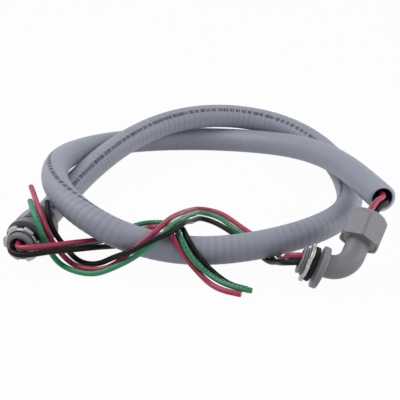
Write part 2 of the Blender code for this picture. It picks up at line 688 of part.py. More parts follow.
def make_elbow_body(parts, cutters):
    """The bent tube with the nose and flange on one end and the gland boss on the other."""
    nose, gland = elbow_axes()
    nose_place = axis_matrix(ELBOW_FACE, nose)
    gland_place = axis_matrix(Vector(elbow_gland()), gland)
    body = turned("elbow_body", nose_profile(-FLANGE_THICKNESS), nose_place, parts)
    tube_line = elbow_line(elbow_arc()[0] + 0.5 * FLANGE_THICKNESS * nose, ELBOW_BOSS_START + MM)
    tube = as_mesh(curve_object("elbow_tube", tube_line, ELBOW_TUBE_RADIUS, 8), cutters)
    combine(body, "UNION", tube)
    boss = turned("elbow_boss", boss_profile(ELBOW_BOSS_START), gland_place, cutters)
    combine(body, "UNION", boss)
    socket = turned("elbow_socket", socket_profile(), gland_place, cutters)
    combine(body, "DIFFERENCE", socket)
    passage_line = elbow_line(np.array(ELBOW_FACE) + (NOSE_LENGTH + MM) * nose, SOCKET_FLOOR + MM)
    passage = as_mesh(curve_object("elbow_passage", passage_line, ELBOW_PASSAGE_RADIUS, 6), cutters)
    combine(body, "DIFFERENCE", passage)
    dress(body, "connector_grey")


def make_wires(parts):
    """Three insulated wires, each one length through the conduit and both connectors."""
    for name, finish in (
        ("black_wire", "insulation_black"),
        ("red_wire", "insulation_red"),
        ("green_wire", "insulation_green"),
    ):
        points = wire_points(name)
        wire = curve_object(name, points, WIRE_RADIUS, 2)
        parts.objects.link(wire)
        dress(wire, finish)
        print(f"{name} length {along(points)[-1]:.3f} m")


def main():
    clear_scene()
    parts = new_collection("conduit_whip")
    cutters = new_collection("cutters")
    make_conduit(parts, cutters)
    axis = Vector(straight_axis())
    make_straight_body(parts, cutters)
    make_nose_parts("straight", STRAIGHT_FACE, -axis, parts)
    make_gland_parts("straight", Vector(straight_gland()), axis, STRAIGHT_NUT_TURN, parts, cutters)
    nose, gland = elbow_axes()
    make_elbow_body(parts, cutters)
    make_nose_parts("elbow", ELBOW_FACE, Vector(nose), parts)
    make_gland_parts("elbow", Vector(elbow_gland()), Vector(gland), ELBOW_NUT_TURN, parts, cutters)
    make_wires(parts)


main()
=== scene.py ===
"""Looks of a flexible conduit whip: a coil of ribbed hose, two box connectors and three wires.

The file is laid out as a Blender add-on and is run as a script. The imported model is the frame, and
every piece here stands where its solid is. Units are metres, and +Z is up from the floor.
"""

import math

import bpy
import numpy as np
from bpy.props import FloatProperty, FloatVectorProperty, IntProperty, PointerProperty
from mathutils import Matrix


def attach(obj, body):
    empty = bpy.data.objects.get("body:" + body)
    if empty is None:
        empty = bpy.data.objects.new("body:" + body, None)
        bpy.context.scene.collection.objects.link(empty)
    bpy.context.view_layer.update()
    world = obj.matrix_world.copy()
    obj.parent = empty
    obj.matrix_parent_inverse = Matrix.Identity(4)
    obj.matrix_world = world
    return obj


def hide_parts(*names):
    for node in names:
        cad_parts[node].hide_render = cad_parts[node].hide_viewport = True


bl_info = {
    "name": "Conduit Whip",
    "version": (1, 0, 0),
    "blender": (4, 5, 0),
    "location": "View3D > Sidebar > Whip",
    "description": "Ribbed conduit coil with box connectors and loose wires",
    "category": "Add Mesh",
}

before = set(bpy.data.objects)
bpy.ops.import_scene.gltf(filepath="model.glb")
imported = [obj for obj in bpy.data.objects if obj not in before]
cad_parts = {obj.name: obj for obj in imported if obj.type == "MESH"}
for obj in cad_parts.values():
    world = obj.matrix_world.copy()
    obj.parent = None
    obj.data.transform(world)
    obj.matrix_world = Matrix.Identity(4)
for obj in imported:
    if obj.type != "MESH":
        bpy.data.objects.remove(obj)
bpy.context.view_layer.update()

MM = 0.001
UP = np.array([0.0, 0.0, 1.0])

# The coil's stations: turn in degrees from -X, clockwise from above, then radius and height in mm
COIL_CENTRE = (2.0, 15.0)
COIL_STATIONS = (
    (5, 101.5, 19.0), (30, 94.8, 23.2), (55, 98.6, 28.3), (80, 108.9, 32.6),
    (105, 120.8, 32.0), (130, 128.6, 25.5), (155, 127.7, 15.8), (180, 123.5, 10.2),
    (205, 122.9, 14.0), (230, 120.0, 17.2), (255, 112.6, 14.0), (280, 115.1, 15.4),
    (305, 126.6, 28.5), (330, 127.0, 39.2), (355, 119.6, 37.4), (380, 117.7, 27.6),
    (405, 117.4, 18.2), (430, 115.8, 11.8), (455, 113.1, 10.4), (480, 108.9, 15.1),
    (505, 106.0, 23.4), (530, 110.0, 31.2), (556, 129.6, 37.6), (571.5, 157.9, 41.5),
)
# Where the row of print marks lies: turn of the coil, then the angle from the hose's inner side
PRINT_STATIONS = (
    (-33, 52), (155, 54), (205, 42), (300, 45), (330, 95), (355, 122), (380, 130), (430, 140),
    (571.5, 150),
)
# Marks: widths and half heights as shares, marks that fill their gap, and the marks that a gap drops
MARK_WIDTHS = (0.62, 0.92)
MARK_HALF_HEIGHTS = (0.42, 0.5)
JOINED_SHARE = 0.35
GAP_MARKS = 1.01
LEAD_POINTS = 24
SPAN_POINTS = 16

# Wires: lanes inside the hose, then the free tails in mm, from the nose outwards
LANE_POINTS = 46
HIDDEN_POINTS = 4
LANE_RADIUS = 2.9 * MM
LANE_ANGLES = {"black": 210.0, "red": 90.0, "green": 330.0}
WIRE_BRIDGE = (131.5, -79.5, 43.6)
STRAIGHT_TAILS = {
    "black": (
        (-137.6, -101.2, 17.6), (-137.2, -106.6, 18.2), (-132.6, -110.4, 17.6), (-125.6, -111.2, 17.4),
        (-112.0, -108.0, 17.8), (-92.0, -98.8, 15.2), (-73.0, -88.0, 11.5), (-58.0, -67.0, 2.9),
        (-45.0, -46.0, 2.6), (-33.0, -38.0, 2.6), (-22.0, -46.0, 4.5), (-15.5, -70.0, 17.0),
        (-11.8, -95.0, 28.7), (-8.4, -105.0, 26.6), (-5.0, -109.0, 22.2), (0.0, -111.2, 15.3),
        (5.1, -110.6, 8.0), (10.4, -112.4, 3.2), (15.6, -119.2, 2.4), (21.6, -126.7, 2.3),
        (28.4, -131.0, 2.3), (33.5, -133.3, 2.3),
    ),
    "red": (
        (-131.5, -105.4, 20.2), (-127.0, -107.4, 21.2), (-112.0, -103.8, 20.6), (-92.0, -93.5, 18.2),
        (-76.0, -83.0, 14.8), (-60.0, -66.0, 10.4), (-46.0, -52.0, 7.0), (-36.0, -46.5, 6.5),
        (-29.5, -54.0, 10.5), (-26.0, -72.0, 19.6), (-22.0, -97.0, 30.0), (-18.3, -106.6, 27.0),
        (-14.4, -110.2, 21.6), (-9.4, -111.5, 14.2), (-3.6, -111.0, 6.0), (2.2, -117.2, 2.5),
        (8.5, -127.5, 2.3), (14.1, -133.2, 2.3), (21.0, -137.2, 2.3), (28.6, -140.2, 2.3),
    ),
    "green": (
        (-129.6, -105.4, 13.8), (-124.8, -105.8, 15.0), (-108.0, -100.6, 15.4), (-92.0, -90.5, 12.6),
        (-76.0, -76.5, 9.8), (-60.0, -57.0, 8.2), (-46.0, -42.5, 7.4), (-33.5, -40.5, 7.6),
        (-25.0, -49.0, 11.0), (-20.5, -70.0, 20.0), (-16.8, -97.0, 29.2), (-12.4, -108.3, 26.9),
        (-9.3, -112.8, 21.8), (-5.0, -114.2, 15.7), (0.7, -114.0, 8.7), (7.2, -118.3, 5.2),
        (14.2, -126.5, 4.7), (21.1, -132.2, 4.7), (28.0, -136.2, 4.7), (36.3, -139.0, 4.6),
    ),
}
ELBOW_TAILS = {
    "black": (
        (62.3, -123.2, 17.6), (57.3, -111.5, 12.2), (52.6, -101.0, 5.6), (49.3, -91.5, 2.2),
        (45.5, -84.0, 2.2), (28.0, -53.5, 2.6), (14.7, -34.1, 2.6), (3.4, -25.2, 3.2),
        (-2.4, -36.5, 8.6), (-6.8, -58.8, 17.9), (-10.1, -83.5, 30.3), (-14.8, -99.5, 34.9),
        (-20.7, -107.0, 33.8), (-25.0, -110.2, 33.2), (-29.3, -111.7, 31.9), (-33.6, -113.0, 30.6),
        (-38.0, -114.0, 28.8), (-46.0, -115.4, 24.4), (-54.5, -114.0, 19.8), (-63.0, -109.0, 14.2),
        (-77.0, -101.5, 4.0), (-86.0, -97.0, 2.7), (-89.6, -95.2, 2.7), (-96.6, -88.1, 6.0),
        (-104.9, -81.3, 13.0), (-109.9, -80.7, 22.5), (-112.7, -77.7, 31.5), (-114.9, -66.1, 34.2),
        (-116.5, -59.0, 34.5),
    ),
    "red": (
        (63.2, -120.8, 22.2), (63.4, -111.5, 17.6), (61.9, -102.5, 10.0), (60.3, -92.5, 3.1),
        (58.5, -83.0, 2.3), (38.7, -48.2, 2.6), (26.3, -28.0, 2.6), (15.1, -13.0, 2.6),
        (2.5, -7.3, 3.0), (-5.7, -19.5, 8.5), (-11.6, -40.1, 17.0), (-16.8, -62.1, 25.5),
        (-21.6, -80.5, 31.8), (-25.5, -92.5, 34.0), (-29.5, -100.5, 33.4), (-33.8, -104.4, 31.4),
        (-38.1, -107.5, 28.8), (-42.6, -109.5, 26.0), (-46.5, -110.4, 22.8), (-54.5, -108.3, 14.5),
        (-63.0, -107.2, 6.4), (-77.0, -107.4, 2.7), (-87.0, -104.0, 2.7), (-94.7, -98.2, 2.7),
        (-103.1, -91.7, 8.0), (-109.7, -86.6, 15.0), (-112.8, -89.1, 25.0), (-116.7, -83.6, 34.5),
        (-124.2, -62.1, 37.0), (-129.4, -44.6, 37.0), (-132.1, -36.6, 37.0),
    ),
    "green": (
        (64.8, -117.9, 16.4), (60.8, -108.2, 9.4), (57.8, -101.3, 5.2), (54.7, -92.5, 2.4),
        (51.9, -82.0, 2.5), (33.2, -50.0, 2.6), (25.9, -40.4, 2.6), (15.0, -21.5, 2.6),
        (2.5, -14.8, 3.4), (-3.2, -27.1, 9.0), (-7.8, -44.2, 16.0), (-12.9, -69.0, 25.6),
        (-17.0, -88.0, 32.4), (-21.6, -100.8, 34.8), (-25.2, -104.0, 31.4), (-29.6, -106.0, 28.4),
        (-34.0, -109.3, 25.8), (-38.3, -110.8, 22.8), (-46.4, -113.1, 17.2), (-54.6, -113.2, 12.0),
        (-63.0, -112.6, 7.6), (-76.0, -113.5, 2.8), (-88.0, -110.3, 2.7), (-103.7, -100.0, 4.2),
        (-109.6, -94.4, 8.6), (-113.8, -93.0, 18.0), (-115.8, -94.4, 27.0), (-120.3, -87.8, 36.6),
        (-125.8, -72.5, 37.6), (-128.3, -63.7, 37.8),
    ),
}
LONG_STEP = 34.0 * MM
TURN_STEP = math.radians(24)
TAIL_START = 5.0 * MM
TAIL_STEP = 0.9 * MM
RUN_STEP = 3.0 * MM
RUN_RECESS = 1.0 * MM
TAIL_RECESS = 3.0 * MM
TAIL_EASING = {"straight": 5, "elbow": 10}
WIRE_EDGE = 0.2 * MM
STRAND_RINGS = (1, 6, 12)
STRAND_TWIST = 0.13
CORE_STRANDS = 5.1
STRAND_SIDES = 8
# One strand's rings: depth in mm below the wire's tip, and width as a share of the strand
STRAND_DEPTHS = (2.6, 0.35, 0.2)
STRAND_WIDTHS = (1.0, 1.0, 0.7)
# Each wire's lowest roughness, shine and darkness of its tick marks
WIRE_FINISHES = {"black": (0.32, 0.13, 0.0), "red": (0.28, 0.36, 0.0), "green": (0.26, 0.36, 0.75)}

# Tick marks along the green wire
TICK_PITCH = 3.4 * MM
TICK_SHARE = 0.45
TICK_PLACE = 2.6 * MM
TICK_REACH = 0.7 * MM

# Connectors, along the nose from the face of the flange
NOSE_LENGTH = 13.0 * MM
NOSE_CLEARANCE = 1.5 * MM
NOSE_RADIUS = 10.4 * MM
NOSE_CHAMFER = 0.8 * MM
PASSAGE_RADIUS = 7.2 * MM
FLANGE_RADIUS = 15.6 * MM
FLANGE_THICKNESS = 4.5 * MM
FLANGE_EDGE = 0.8 * MM
GASKET_START = 2.2 * MM
GASKET_THICKNESS = 3.6 * MM
GASKET_RADIUS = 12.8 * MM
LOCKNUT_START = GASKET_START + GASKET_THICKNESS + 0.3 * MM
LOCKNUT_THICKNESS = 2.6 * MM
LOCKNUT_RADIUS = 12.6 * MM
LOCKNUT_BACK = 0.35 * MM
LOCKNUT_FRONT = 0.6 * MM
LOCKNUT_STEP = 0.5 * MM
LOCKNUT_LUG = 1.9 * MM
LOCKNUT_LUG_COUNT = 6
LUG_ROOT_SHARE = 0.30
LUG_TIP_SHARE = 0.26
LOOSE_BORE_RADIUS = 10.8 * MM

# Connectors, along the gland from the front of the gland nut
HEX_LENGTH = 4.0 * MM
HEX_GAP = 0.3 * MM
HEX_ROOT_SHARE = 0.6
HEX_STEP = 0.2 * MM
HEX_EDGE = 0.5 * MM
HEX_DROP = 0.6 * MM
NUT_HEX_LENGTH = 17.4 * MM
NUT_LENGTH = 22.5 * MM
NUT_REAR_RADIUS = 12.2 * MM
NUT_SHOULDER_DROP = 1.2 * MM
NUT_SHOULDER_RUN = 1.8 * MM
NUT_CHAMFER = 0.8 * MM
NUT_THREAD_RADIUS = 12.7 * MM
NUT_THREAD_LENGTH = 16.6 * MM
NUT_MOUTH_RADIUS = 11.2 * MM
NUT_CONE_LENGTH = 1.6 * MM
BOSS_RADIUS = 12.4 * MM
BOSS_END = 10.5 * MM
SOCKET_RADIUS = 11.0 * MM
SOCKET_FLOOR = 2.8 * MM
FERRULE_START = 3.1 * MM
FERRULE_RADIUS = 7.0 * MM
FERRULE_BORE_RADIUS = 5.7 * MM
FERRULE_COLLAR_RADIUS = 10.4 * MM
FERRULE_COLLAR = 1.5 * MM
FERRULE_LENGTH = 15.0 * MM
FERRULE_TAPER = 3.0 * MM
FERRULE_LIP = 0.5 * MM
RING_START = 10.8 * MM
RING_LENGTH = 5.2 * MM
RING_RADIUS = 12.2 * MM
RING_REAR_RADIUS = 11.7 * MM
RING_TAPER = 2.0 * MM
CONDUIT_END = 4.9 * MM

# Where the connectors lie
STRAIGHT_FACE = np.array([-129.4, -85.9, 16.9]) * MM
STRAIGHT_HEADING = math.radians(76.2)
STRAIGHT_LEAD = 42.0 * MM
STRAIGHT_NUT_TURN = math.radians(24.0)
ELBOW_FACE = np.array([82.7, -125.4, 16.4]) * MM
ELBOW_NOSE = np.array([-0.917, 0.190, 0.350])
ELBOW_GLAND = np.array([0.421, 0.693, 0.585])
ELBOW_TUBE_RADIUS = 8.6 * MM
ELBOW_PASSAGE_RADIUS = 6.4 * MM
ELBOW_TUBE_OFFSET = 3.0 * MM
ELBOW_BEND_RADIUS = 16.6 * MM
ELBOW_GLAND_RUN = 10.5 * MM
ELBOW_BOSS_START = 0.3 * MM
ELBOW_NUT_TURN = math.radians(-9.2)
ELBOW_ARC_POINTS = 49
AXIS_POINTS = 8
LANE_ARC_POINTS = 9

# Cloudy noise mostly lies between these values
CLOUD_LOW, CLOUD_HIGH = 0.3, 0.7

# How far from a corner its rounding starts, and the most of an edge that it may take
TIGHT = 0.1 * MM
CRISP = 0.2 * MM
SOFT = 0.3 * MM
ROUND = 0.4 * MM
ROUNDER = 0.5 * MM
BROAD = 0.8 * MM
WIDE = 1.0 * MM
LARGEST_SHARE = 0.45

# Meshes: the longest edges of a section, the threads, and the hose's rim and ribs
THREAD_STEP = 0.22 * MM
PLAIN_STEP = 0.8 * MM
THREAD_EDGE = 0.5 * MM
THREAD_FADE = 0.6
VEE_SLOPE, VEE_FLAT = 1.15, 0.05
SAME_RADIUS = 0.05 * MM
PROFILE_SPARE = 10.0 * MM
HOSE_RIM = 0.5 * MM
RIB_SHARPNESS = 1.5
RIBS_A_BORE_ROW = 4

# The stage
FLOOR_HALF = 3.0
FLOOR_DROP = -0.3 * MM
FLOOR_GREY = (0.72, 0.72, 0.72, 1.0)
WHITE = (1.0, 1.0, 1.0, 1.0)
LAMP_SIZE = 0.9
KEY_PLACE, KEY_TURN = (-0.70, 0.05, 0.95), (-3.0, -36.0, 0.0)
FILL_PLACE, FILL_TURN = (1.05, -0.20, 0.42), (6.6, 67.1, 0.0)

# The photograph's camera
CAMERA_PLACE = (0.0, -0.69084, 0.34114)
CAMERA_PITCH = 64.237
CAMERA_LENS = 83.05


def unit(vectors):
    """Vectors divided by their length."""
    return vectors / np.linalg.norm(vectors, axis=-1, keepdims=True)


def smooth_points(points, start=None, end=None, per_span=SPAN_POINTS):
    """Dense points on a cubic through the points, with chord length as its parameter.

    The second derivatives solve the usual three-term system. A given unit direction clamps that
    end, and an end with none is left free.
    """
    knots = np.asarray(points, float)
    span = np.linalg.norm(np.diff(knots, axis=0), axis=1)
    slope = np.diff(knots, axis=0) / span[:, None]
    middle = np.concatenate([[1.0], 2.0 * (span[:-1] + span[1:]), [1.0]])
    below, above = np.append(span[:-1], 0.0), np.append(0.0, span[1:])
    system = np.diag(middle) + np.diag(below, -1) + np.diag(above, 1)
    right = np.zeros_like(knots)
    right[1:-1] = 6.0 * np.diff(slope, axis=0)
    if start is not None:
        system[0, :2] = (2.0 * span[0], span[0])
        right[0] = 6.0 * (slope[0] - start)
    if end is not None:
        system[-1, -2:] = (span[-1], 2.0 * span[-1])
        right[-1] = 6.0 * (end - slope[-1])
    bend = np.linalg.solve(system, right)
    t = np.linspace(0.0, 1.0, per_span, endpoint=False)[None, :, None]
    lift = ((1 - t) ** 3 - (1 - t)) * bend[:-1, None] + (t ** 3 - t) * bend[1:, None]
    curve = (1 - t) * knots[:-1, None] + t * knots[1:, None] + lift * span[:, None, None] ** 2 / 6.0
    return np.vstack([curve.reshape(-1, 3), knots[-1:]])


def along(points):
    """Length from the first point to each point."""
    return np.concatenate([[0.0], np.cumsum(np.linalg.norm(np.diff(points, axis=0), axis=1))])


def at_lengths(points, measure, wanted):
    """Points of a dense line where its rising measure has the wanted values."""
    return np.stack([np.interp(wanted, measure, points[:, axis]) for axis in range(3)], axis=1)


def even_line(points, step):
    """The line again, at even steps of about the given length."""
    measure = along(points)
    count = int(round(measure[-1] / step)) + 1
    return at_lengths(points, measure, np.linspace(0.0, measure[-1], count))


def bend_measure(points):
    """A measure that grows with length and with turning, so points crowd where a wire bends."""
    step = np.diff(points, axis=0)
    length = np.linalg.norm(step, axis=1)
    heading = step / length[:, None]
    cosine = np.clip((heading[1:] * heading[:-1]).sum(axis=1), -1.0, 1.0)
    turning = np.concatenate([[0.0], np.arccos(cosine)])
    return np.concatenate([[0.0], np.cumsum(length / LONG_STEP + turning / TURN_STEP)])


def straight_axis():
    """The direction from the straight connector into the hose."""
    return np.array([math.cos(STRAIGHT_HEADING), math.sin(STRAIGHT_HEADING), 0.0])


def straight_gland():
    """The front of the straight connector's gland nut."""
    return STRAIGHT_FACE + (FLANGE_THICKNESS + HEX_LENGTH + HEX_GAP) * straight_axis()


def elbow_axes():
    """Unit nose and gland directions of the elbow, and the tube's offset from the flange's middle."""
    nose, gland = unit(ELBOW_NOSE), unit(ELBOW_GLAND)
    return nose, gland, ELBOW_TUBE_OFFSET * unit(gland - (gland @ nose) * nose)


def elbow_bend():
    """The angle that the elbow's tube turns through."""
    nose, gland, _ = elbow_axes()
    return math.acos(-(gland @ nose))


def elbow_arc(count):
    """Points round the elbow's bend, from the back of the flange to the start of the gland."""
    nose, _, offset = elbow_axes()
    start = ELBOW_FACE - FLANGE_THICKNESS * nose + offset
    angle = np.linspace(0.0, elbow_bend(), count)[:, None]
    return start - ELBOW_BEND_RADIUS * (np.sin(angle) * nose - (1 - np.cos(angle)) * unit(offset))


def elbow_gland():
    """The front of the elbow's gland nut."""
    return elbow_arc(2)[-1] + ELBOW_GLAND_RUN * elbow_axes()[1]


def coil_line():
    """Dense centreline of the hose, from its end in the straight connector to its open mouth."""
    axis = straight_axis()
    first = straight_gland() + CONDUIT_END * axis
    lead = first + STRAIGHT_LEAD * axis
    turn, radius, height = np.array(COIL_STATIONS).T
    angle = np.radians(turn)
    x = COIL_CENTRE[0] - radius * np.cos(angle)
    y = COIL_CENTRE[1] + radius * np.sin(angle)
    stations = np.stack([x, y, height], axis=1) * MM
    curve = smooth_points(np.vstack([lead, stations]), start=axis)
    return np.vstack([np.linspace(first, lead, LEAD_POINTS, endpoint=False), curve])


def elbow_line(first, gland_end, arc_points=ELBOW_ARC_POINTS):
    """Points along the elbow from a first point, round the bend and up the gland."""
    return np.vstack([first, elbow_arc(arc_points), elbow_gland() + gland_end * elbow_axes()[1]])


def bundle_line():
    """Dense middle line of the three wires from the straight nose to the elbow nose."""
    axis = straight_axis()
    nose, gland, _ = elbow_axes()
    entry = STRAIGHT_FACE - (NOSE_LENGTH + NOSE_CLEARANCE) * axis
    hose = coil_line()
    ferrule_end = elbow_gland() + (SOCKET_FLOOR + FERRULE_LENGTH + MM) * gland
    exit_point = ELBOW_FACE + (NOSE_LENGTH + NOSE_CLEARANCE) * nose
    bend = elbow_line(exit_point, SOCKET_FLOOR, LANE_ARC_POINTS)[::-1]
    bridge = smooth_points(
        np.vstack([hose[-1], np.array(WIRE_BRIDGE) * MM, ferrule_end]),
        start=unit(hose[-1] - hose[-2]), end=-gland,
    )
    run = np.linspace(entry, hose[0], LEAD_POINTS, endpoint=False)
    return np.vstack([run, hose[:-1], bridge, bend])


def eased(line, reach):
    """The line with each point moved to the mean of itself and its near neighbours; the ends stay."""
    before = 2 * line[:1] - line[reach:0:-1]
    after = 2 * line[-1:] - line[-2:-reach - 2:-1]
    total = np.cumsum(np.vstack([np.zeros((1, 3)), before, line, after]), axis=0)
    width = 2 * reach + 1
    return (total[width:] - total[:-width]) / width


def path_frame(line):
    """Heading, level right-hand side and upper side of each point of a line."""
    heading = unit(np.gradient(line, axis=0))
    side = unit(np.cross(heading, UP))
    return heading, side, np.cross(side, heading)


def wire_line(colour):
    """One wire's dense line, from its tip past the straight nose to its tip past the elbow's nose.

    Inside the hose it keeps to its lane, a fixed distance and angle from the middle of the bundle.
    Extra points hold it straight where it passes through the straight connector.
    """
    middle = bundle_line()
    measure = bend_measure(middle)
    even = at_lengths(middle, measure, np.linspace(0.0, measure[-1], LANE_POINTS))
    side, rise = path_frame(even)[1:]
    angle = math.radians(LANE_ANGLES[colour])
    lane = even + LANE_RADIUS * (math.cos(angle) * side + math.sin(angle) * rise)
    hidden = np.linspace(lane[0], lane[1], HIDDEN_POINTS, endpoint=False)
    near = np.array(STRAIGHT_TAILS[colour])[::-1] * MM
    far = np.array(ELBOW_TAILS[colour]) * MM
    return smooth_points(np.vstack([near, hidden, lane[1:], far]))


def wire_sections(colour):
    """A wire's line in three: straight tail, hidden run and elbow tail, each from its nose outwards.

    The cuts lie inside the noses, where the line first comes within TAIL_START of the flange.
    """
    line = wire_line(colour)
    nose = elbow_axes()[0]
    inside_straight = (line - STRAIGHT_FACE) @ -straight_axis() < TAIL_START
    inside_elbow = (line - ELBOW_FACE) @ nose < TAIL_START
    lane_start = len(STRAIGHT_TAILS[colour]) * SPAN_POINTS
    lane_end = len(line) - 1 - len(ELBOW_TAILS[colour]) * SPAN_POINTS
    first = lane_start + int(np.argmax(inside_straight[lane_start:]))
    last = lane_end - int(np.argmax(inside_elbow[lane_end::-1]))
    return line[:first + 1][::-1], line[first:last + 1], line[last:]


def softened(corners, steps=5):
    """A closed profile with its corners rounded.

    Each corner is (along, radius, hexagon share, softness). It becomes a parabola between the points
    that lie softness away from it on its two edges, or less on a short edge.
    """
    table = np.array(corners, float)
    here, soft = table[:, :3], table[:, 3]
    to_last = np.roll(here, 1, axis=0) - here
    to_next = np.roll(here, -1, axis=0) - here
    reach_last = np.linalg.norm(to_last[:, :2], axis=1)
    reach_next = np.linalg.norm(to_next[:, :2], axis=1)
    enter = here + to_last * np.minimum(soft / reach_last, LARGEST_SHARE)[:, None]
    leave = here + to_next * np.minimum(soft / reach_next, LARGEST_SHARE)[:, None]
    t = np.linspace(0.0, 1.0, steps)[None, :, None]
    bow = (1 - t) ** 2 * enter[:, None] + 2 * t * (1 - t) * here[:, None] + t ** 2 * leave[:, None]
    return bow.reshape(-1, 3)


def refined(profile, step):
    """A closed profile with points added so that no edge is longer than step."""
    nxt = np.roll(profile, -1, axis=0)
    parts = np.maximum(np.ceil(np.linalg.norm((nxt - profile)[:, :2], axis=1) / step), 1).astype(int)
    edge = np.repeat(np.arange(len(profile)), parts)
    order = np.arange(len(edge)) - np.repeat(np.cumsum(parts) - parts, parts)
    share = (order / parts[edge])[:, None]
    return profile[edge] * (1 - share) + nxt[edge] * share


def hexagon_radius(angles, flats):
    """Distance to the side of a hexagon with corners at its level sides, for each angle."""
    return flats / 2 / np.cos(np.mod(angles, math.pi / 3) - math.pi / 6)


def softer_least(first, second, sharpness=60.0):
    """The smaller of two positive lengths, rounded over where they are nearly equal."""
    return (first ** -sharpness + second ** -sharpness) ** (-1.0 / sharpness)


def ramp(value, low, high):
    """0 below low, 1 above high, and a smooth step between."""
    t = np.clip((value - low) / (high - low), 0.0, 1.0)
    return t * t * (3 - 2 * t)


def ring_angles(columns):
    """Even angles round a section, from the level side towards the upper side."""
    return np.arange(columns) * 2 * math.pi / columns


def carried(line, place, radius, angles):
    """A section carried along a line: line(place) + radius (cos angle side + sin angle up).

    place has one value a row, radius one a row or one a point, and angles one a column or one a point.
    """
    measure = along(line)
    heading, side, rise = path_frame(line)
    centre = at_lengths(line, measure, place)
    centre += heading[-1] * np.maximum(place - measure[-1], 0.0)[:, None]
    side = unit(at_lengths(side, measure, place))[:, None]
    rise = unit(at_lengths(rise, measure, place))[:, None]
    angles = np.broadcast_to(angles, (len(place), np.shape(angles)[-1]))[..., None]
    radius = np.broadcast_to(np.reshape(radius, (len(place), -1)), angles.shape[:2])[..., None]
    return centre[:, None] + radius * (np.cos(angles) * side + np.sin(angles) * rise)


def surface(name, points, closed, across=None, down=None, attributes=None):
    """A mesh from a grid of points whose rows are rings.

    A closed grid joins its last row to its first. An open one has a flat cap on each end. The faces
    are turned over if the volume that they enclose comes out negative, so they point outwards.
    """
    rows, columns = points.shape[:2]
    i, j = np.meshgrid(np.arange(rows if closed else rows - 1), np.arange(columns), indexing="ij")
    ci = np.stack([i, i + 1, i + 1, i], axis=-1).reshape(-1, 4)
    cj = np.stack([j, j, j + 1, j + 1], axis=-1).reshape(-1, 4)
    flat = points.reshape(-1, 3)
    quads = (ci % rows) * columns + cj % columns
    a, b, c, d = (flat[quads[:, k]] - flat.mean(axis=0) for k in range(4))
    volume = (np.cross(a, b) * c).sum() + (np.cross(a, c) * d).sum()
    last = (rows - 1) * columns
    caps = [] if closed else [list(range(columns)), list(range(last + columns - 1, last - 1, -1))]
    if volume < 0:
        quads, ci, cj = quads[:, ::-1], ci[:, ::-1], cj[:, ::-1]
        caps = [cap[::-1] for cap in caps]
    mesh = bpy.data.meshes.new(name)
    mesh.from_pydata(flat.tolist(), [], quads.tolist() + caps)
    if across is not None:
        uv = np.stack([np.append(down, down[0])[ci], across[cj]], axis=-1).reshape(-1, 2)
        extra = np.zeros((2 * columns if caps else 0, 2))
        layer = mesh.uv_layers.new(name="along")
        layer.data.foreach_set("uv", np.vstack([uv, extra]).ravel())
    for label, values in (attributes or {}).items():
        mesh.attributes.new(label, "FLOAT", "POINT").data.foreach_set("value", values.ravel())
    mesh.shade_smooth()
    mesh.update()
    return mesh


def put_piece(name, mesh, material, body, node):
    """A finished piece in the scene: it rides on its body and stands for its CAD node."""
    piece = bpy.data.objects.new(name, mesh)
    bpy.context.scene.collection.objects.link(piece)
    mesh.materials.append(material)
    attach(piece, body)
    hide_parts(node)
    return piece


def turned_surface(name, line, corners, columns=96, step=2.0 * MM, flats=None, turn=0.0, shift=None,
                   shape=None):
    """A profile of (along, radius, share, softness) corners carried round a line.

    With flats, the share is how far the section goes from a circle to a hexagon, turned by turn. With
    shift, it is how far the section moves along that vector. shape changes the radius further.
    """
    profile = refined(softened(corners), step)
    angles = ring_angles(columns)
    place, share = profile[:, 0], profile[:, 2:3]
    radius = np.repeat(profile[:, 1:2], columns, axis=1)
    if flats:
        six = softer_least(radius, hexagon_radius(angles + turn, flats)[None, :])
        radius = radius + share * (six - radius)
    if shape:
        radius = shape(place[:, None], radius, angles[None, :])
    points = carried(line, place, radius, angles)
    if shift is not None:
        points = points + share[..., None] * shift
    return surface(name, points, True)


def put_turned(name, line, corners, material, body, node, slot, **how):
    """A turned surface as a finished piece of the same name."""
    put_piece(name, turned_surface(name, line, corners, **how), material, body, node)


def thread_groove(place, angles, low, high, pitch, depth):
    """Depth of a screw thread: a V that climbs one pitch a turn, fading out at both ends."""
    turn = np.mod(place / pitch + angles / (2 * math.pi), 1.0)
    vee = np.clip(VEE_SLOPE * np.abs(2.0 * turn - 1.0) - VEE_FLAT, 0.0, 1.0)
    run_out = THREAD_FADE * pitch
    fade = ramp(place, low, low + run_out) * (1.0 - ramp(place, high - run_out, high))
    return depth * vee * fade


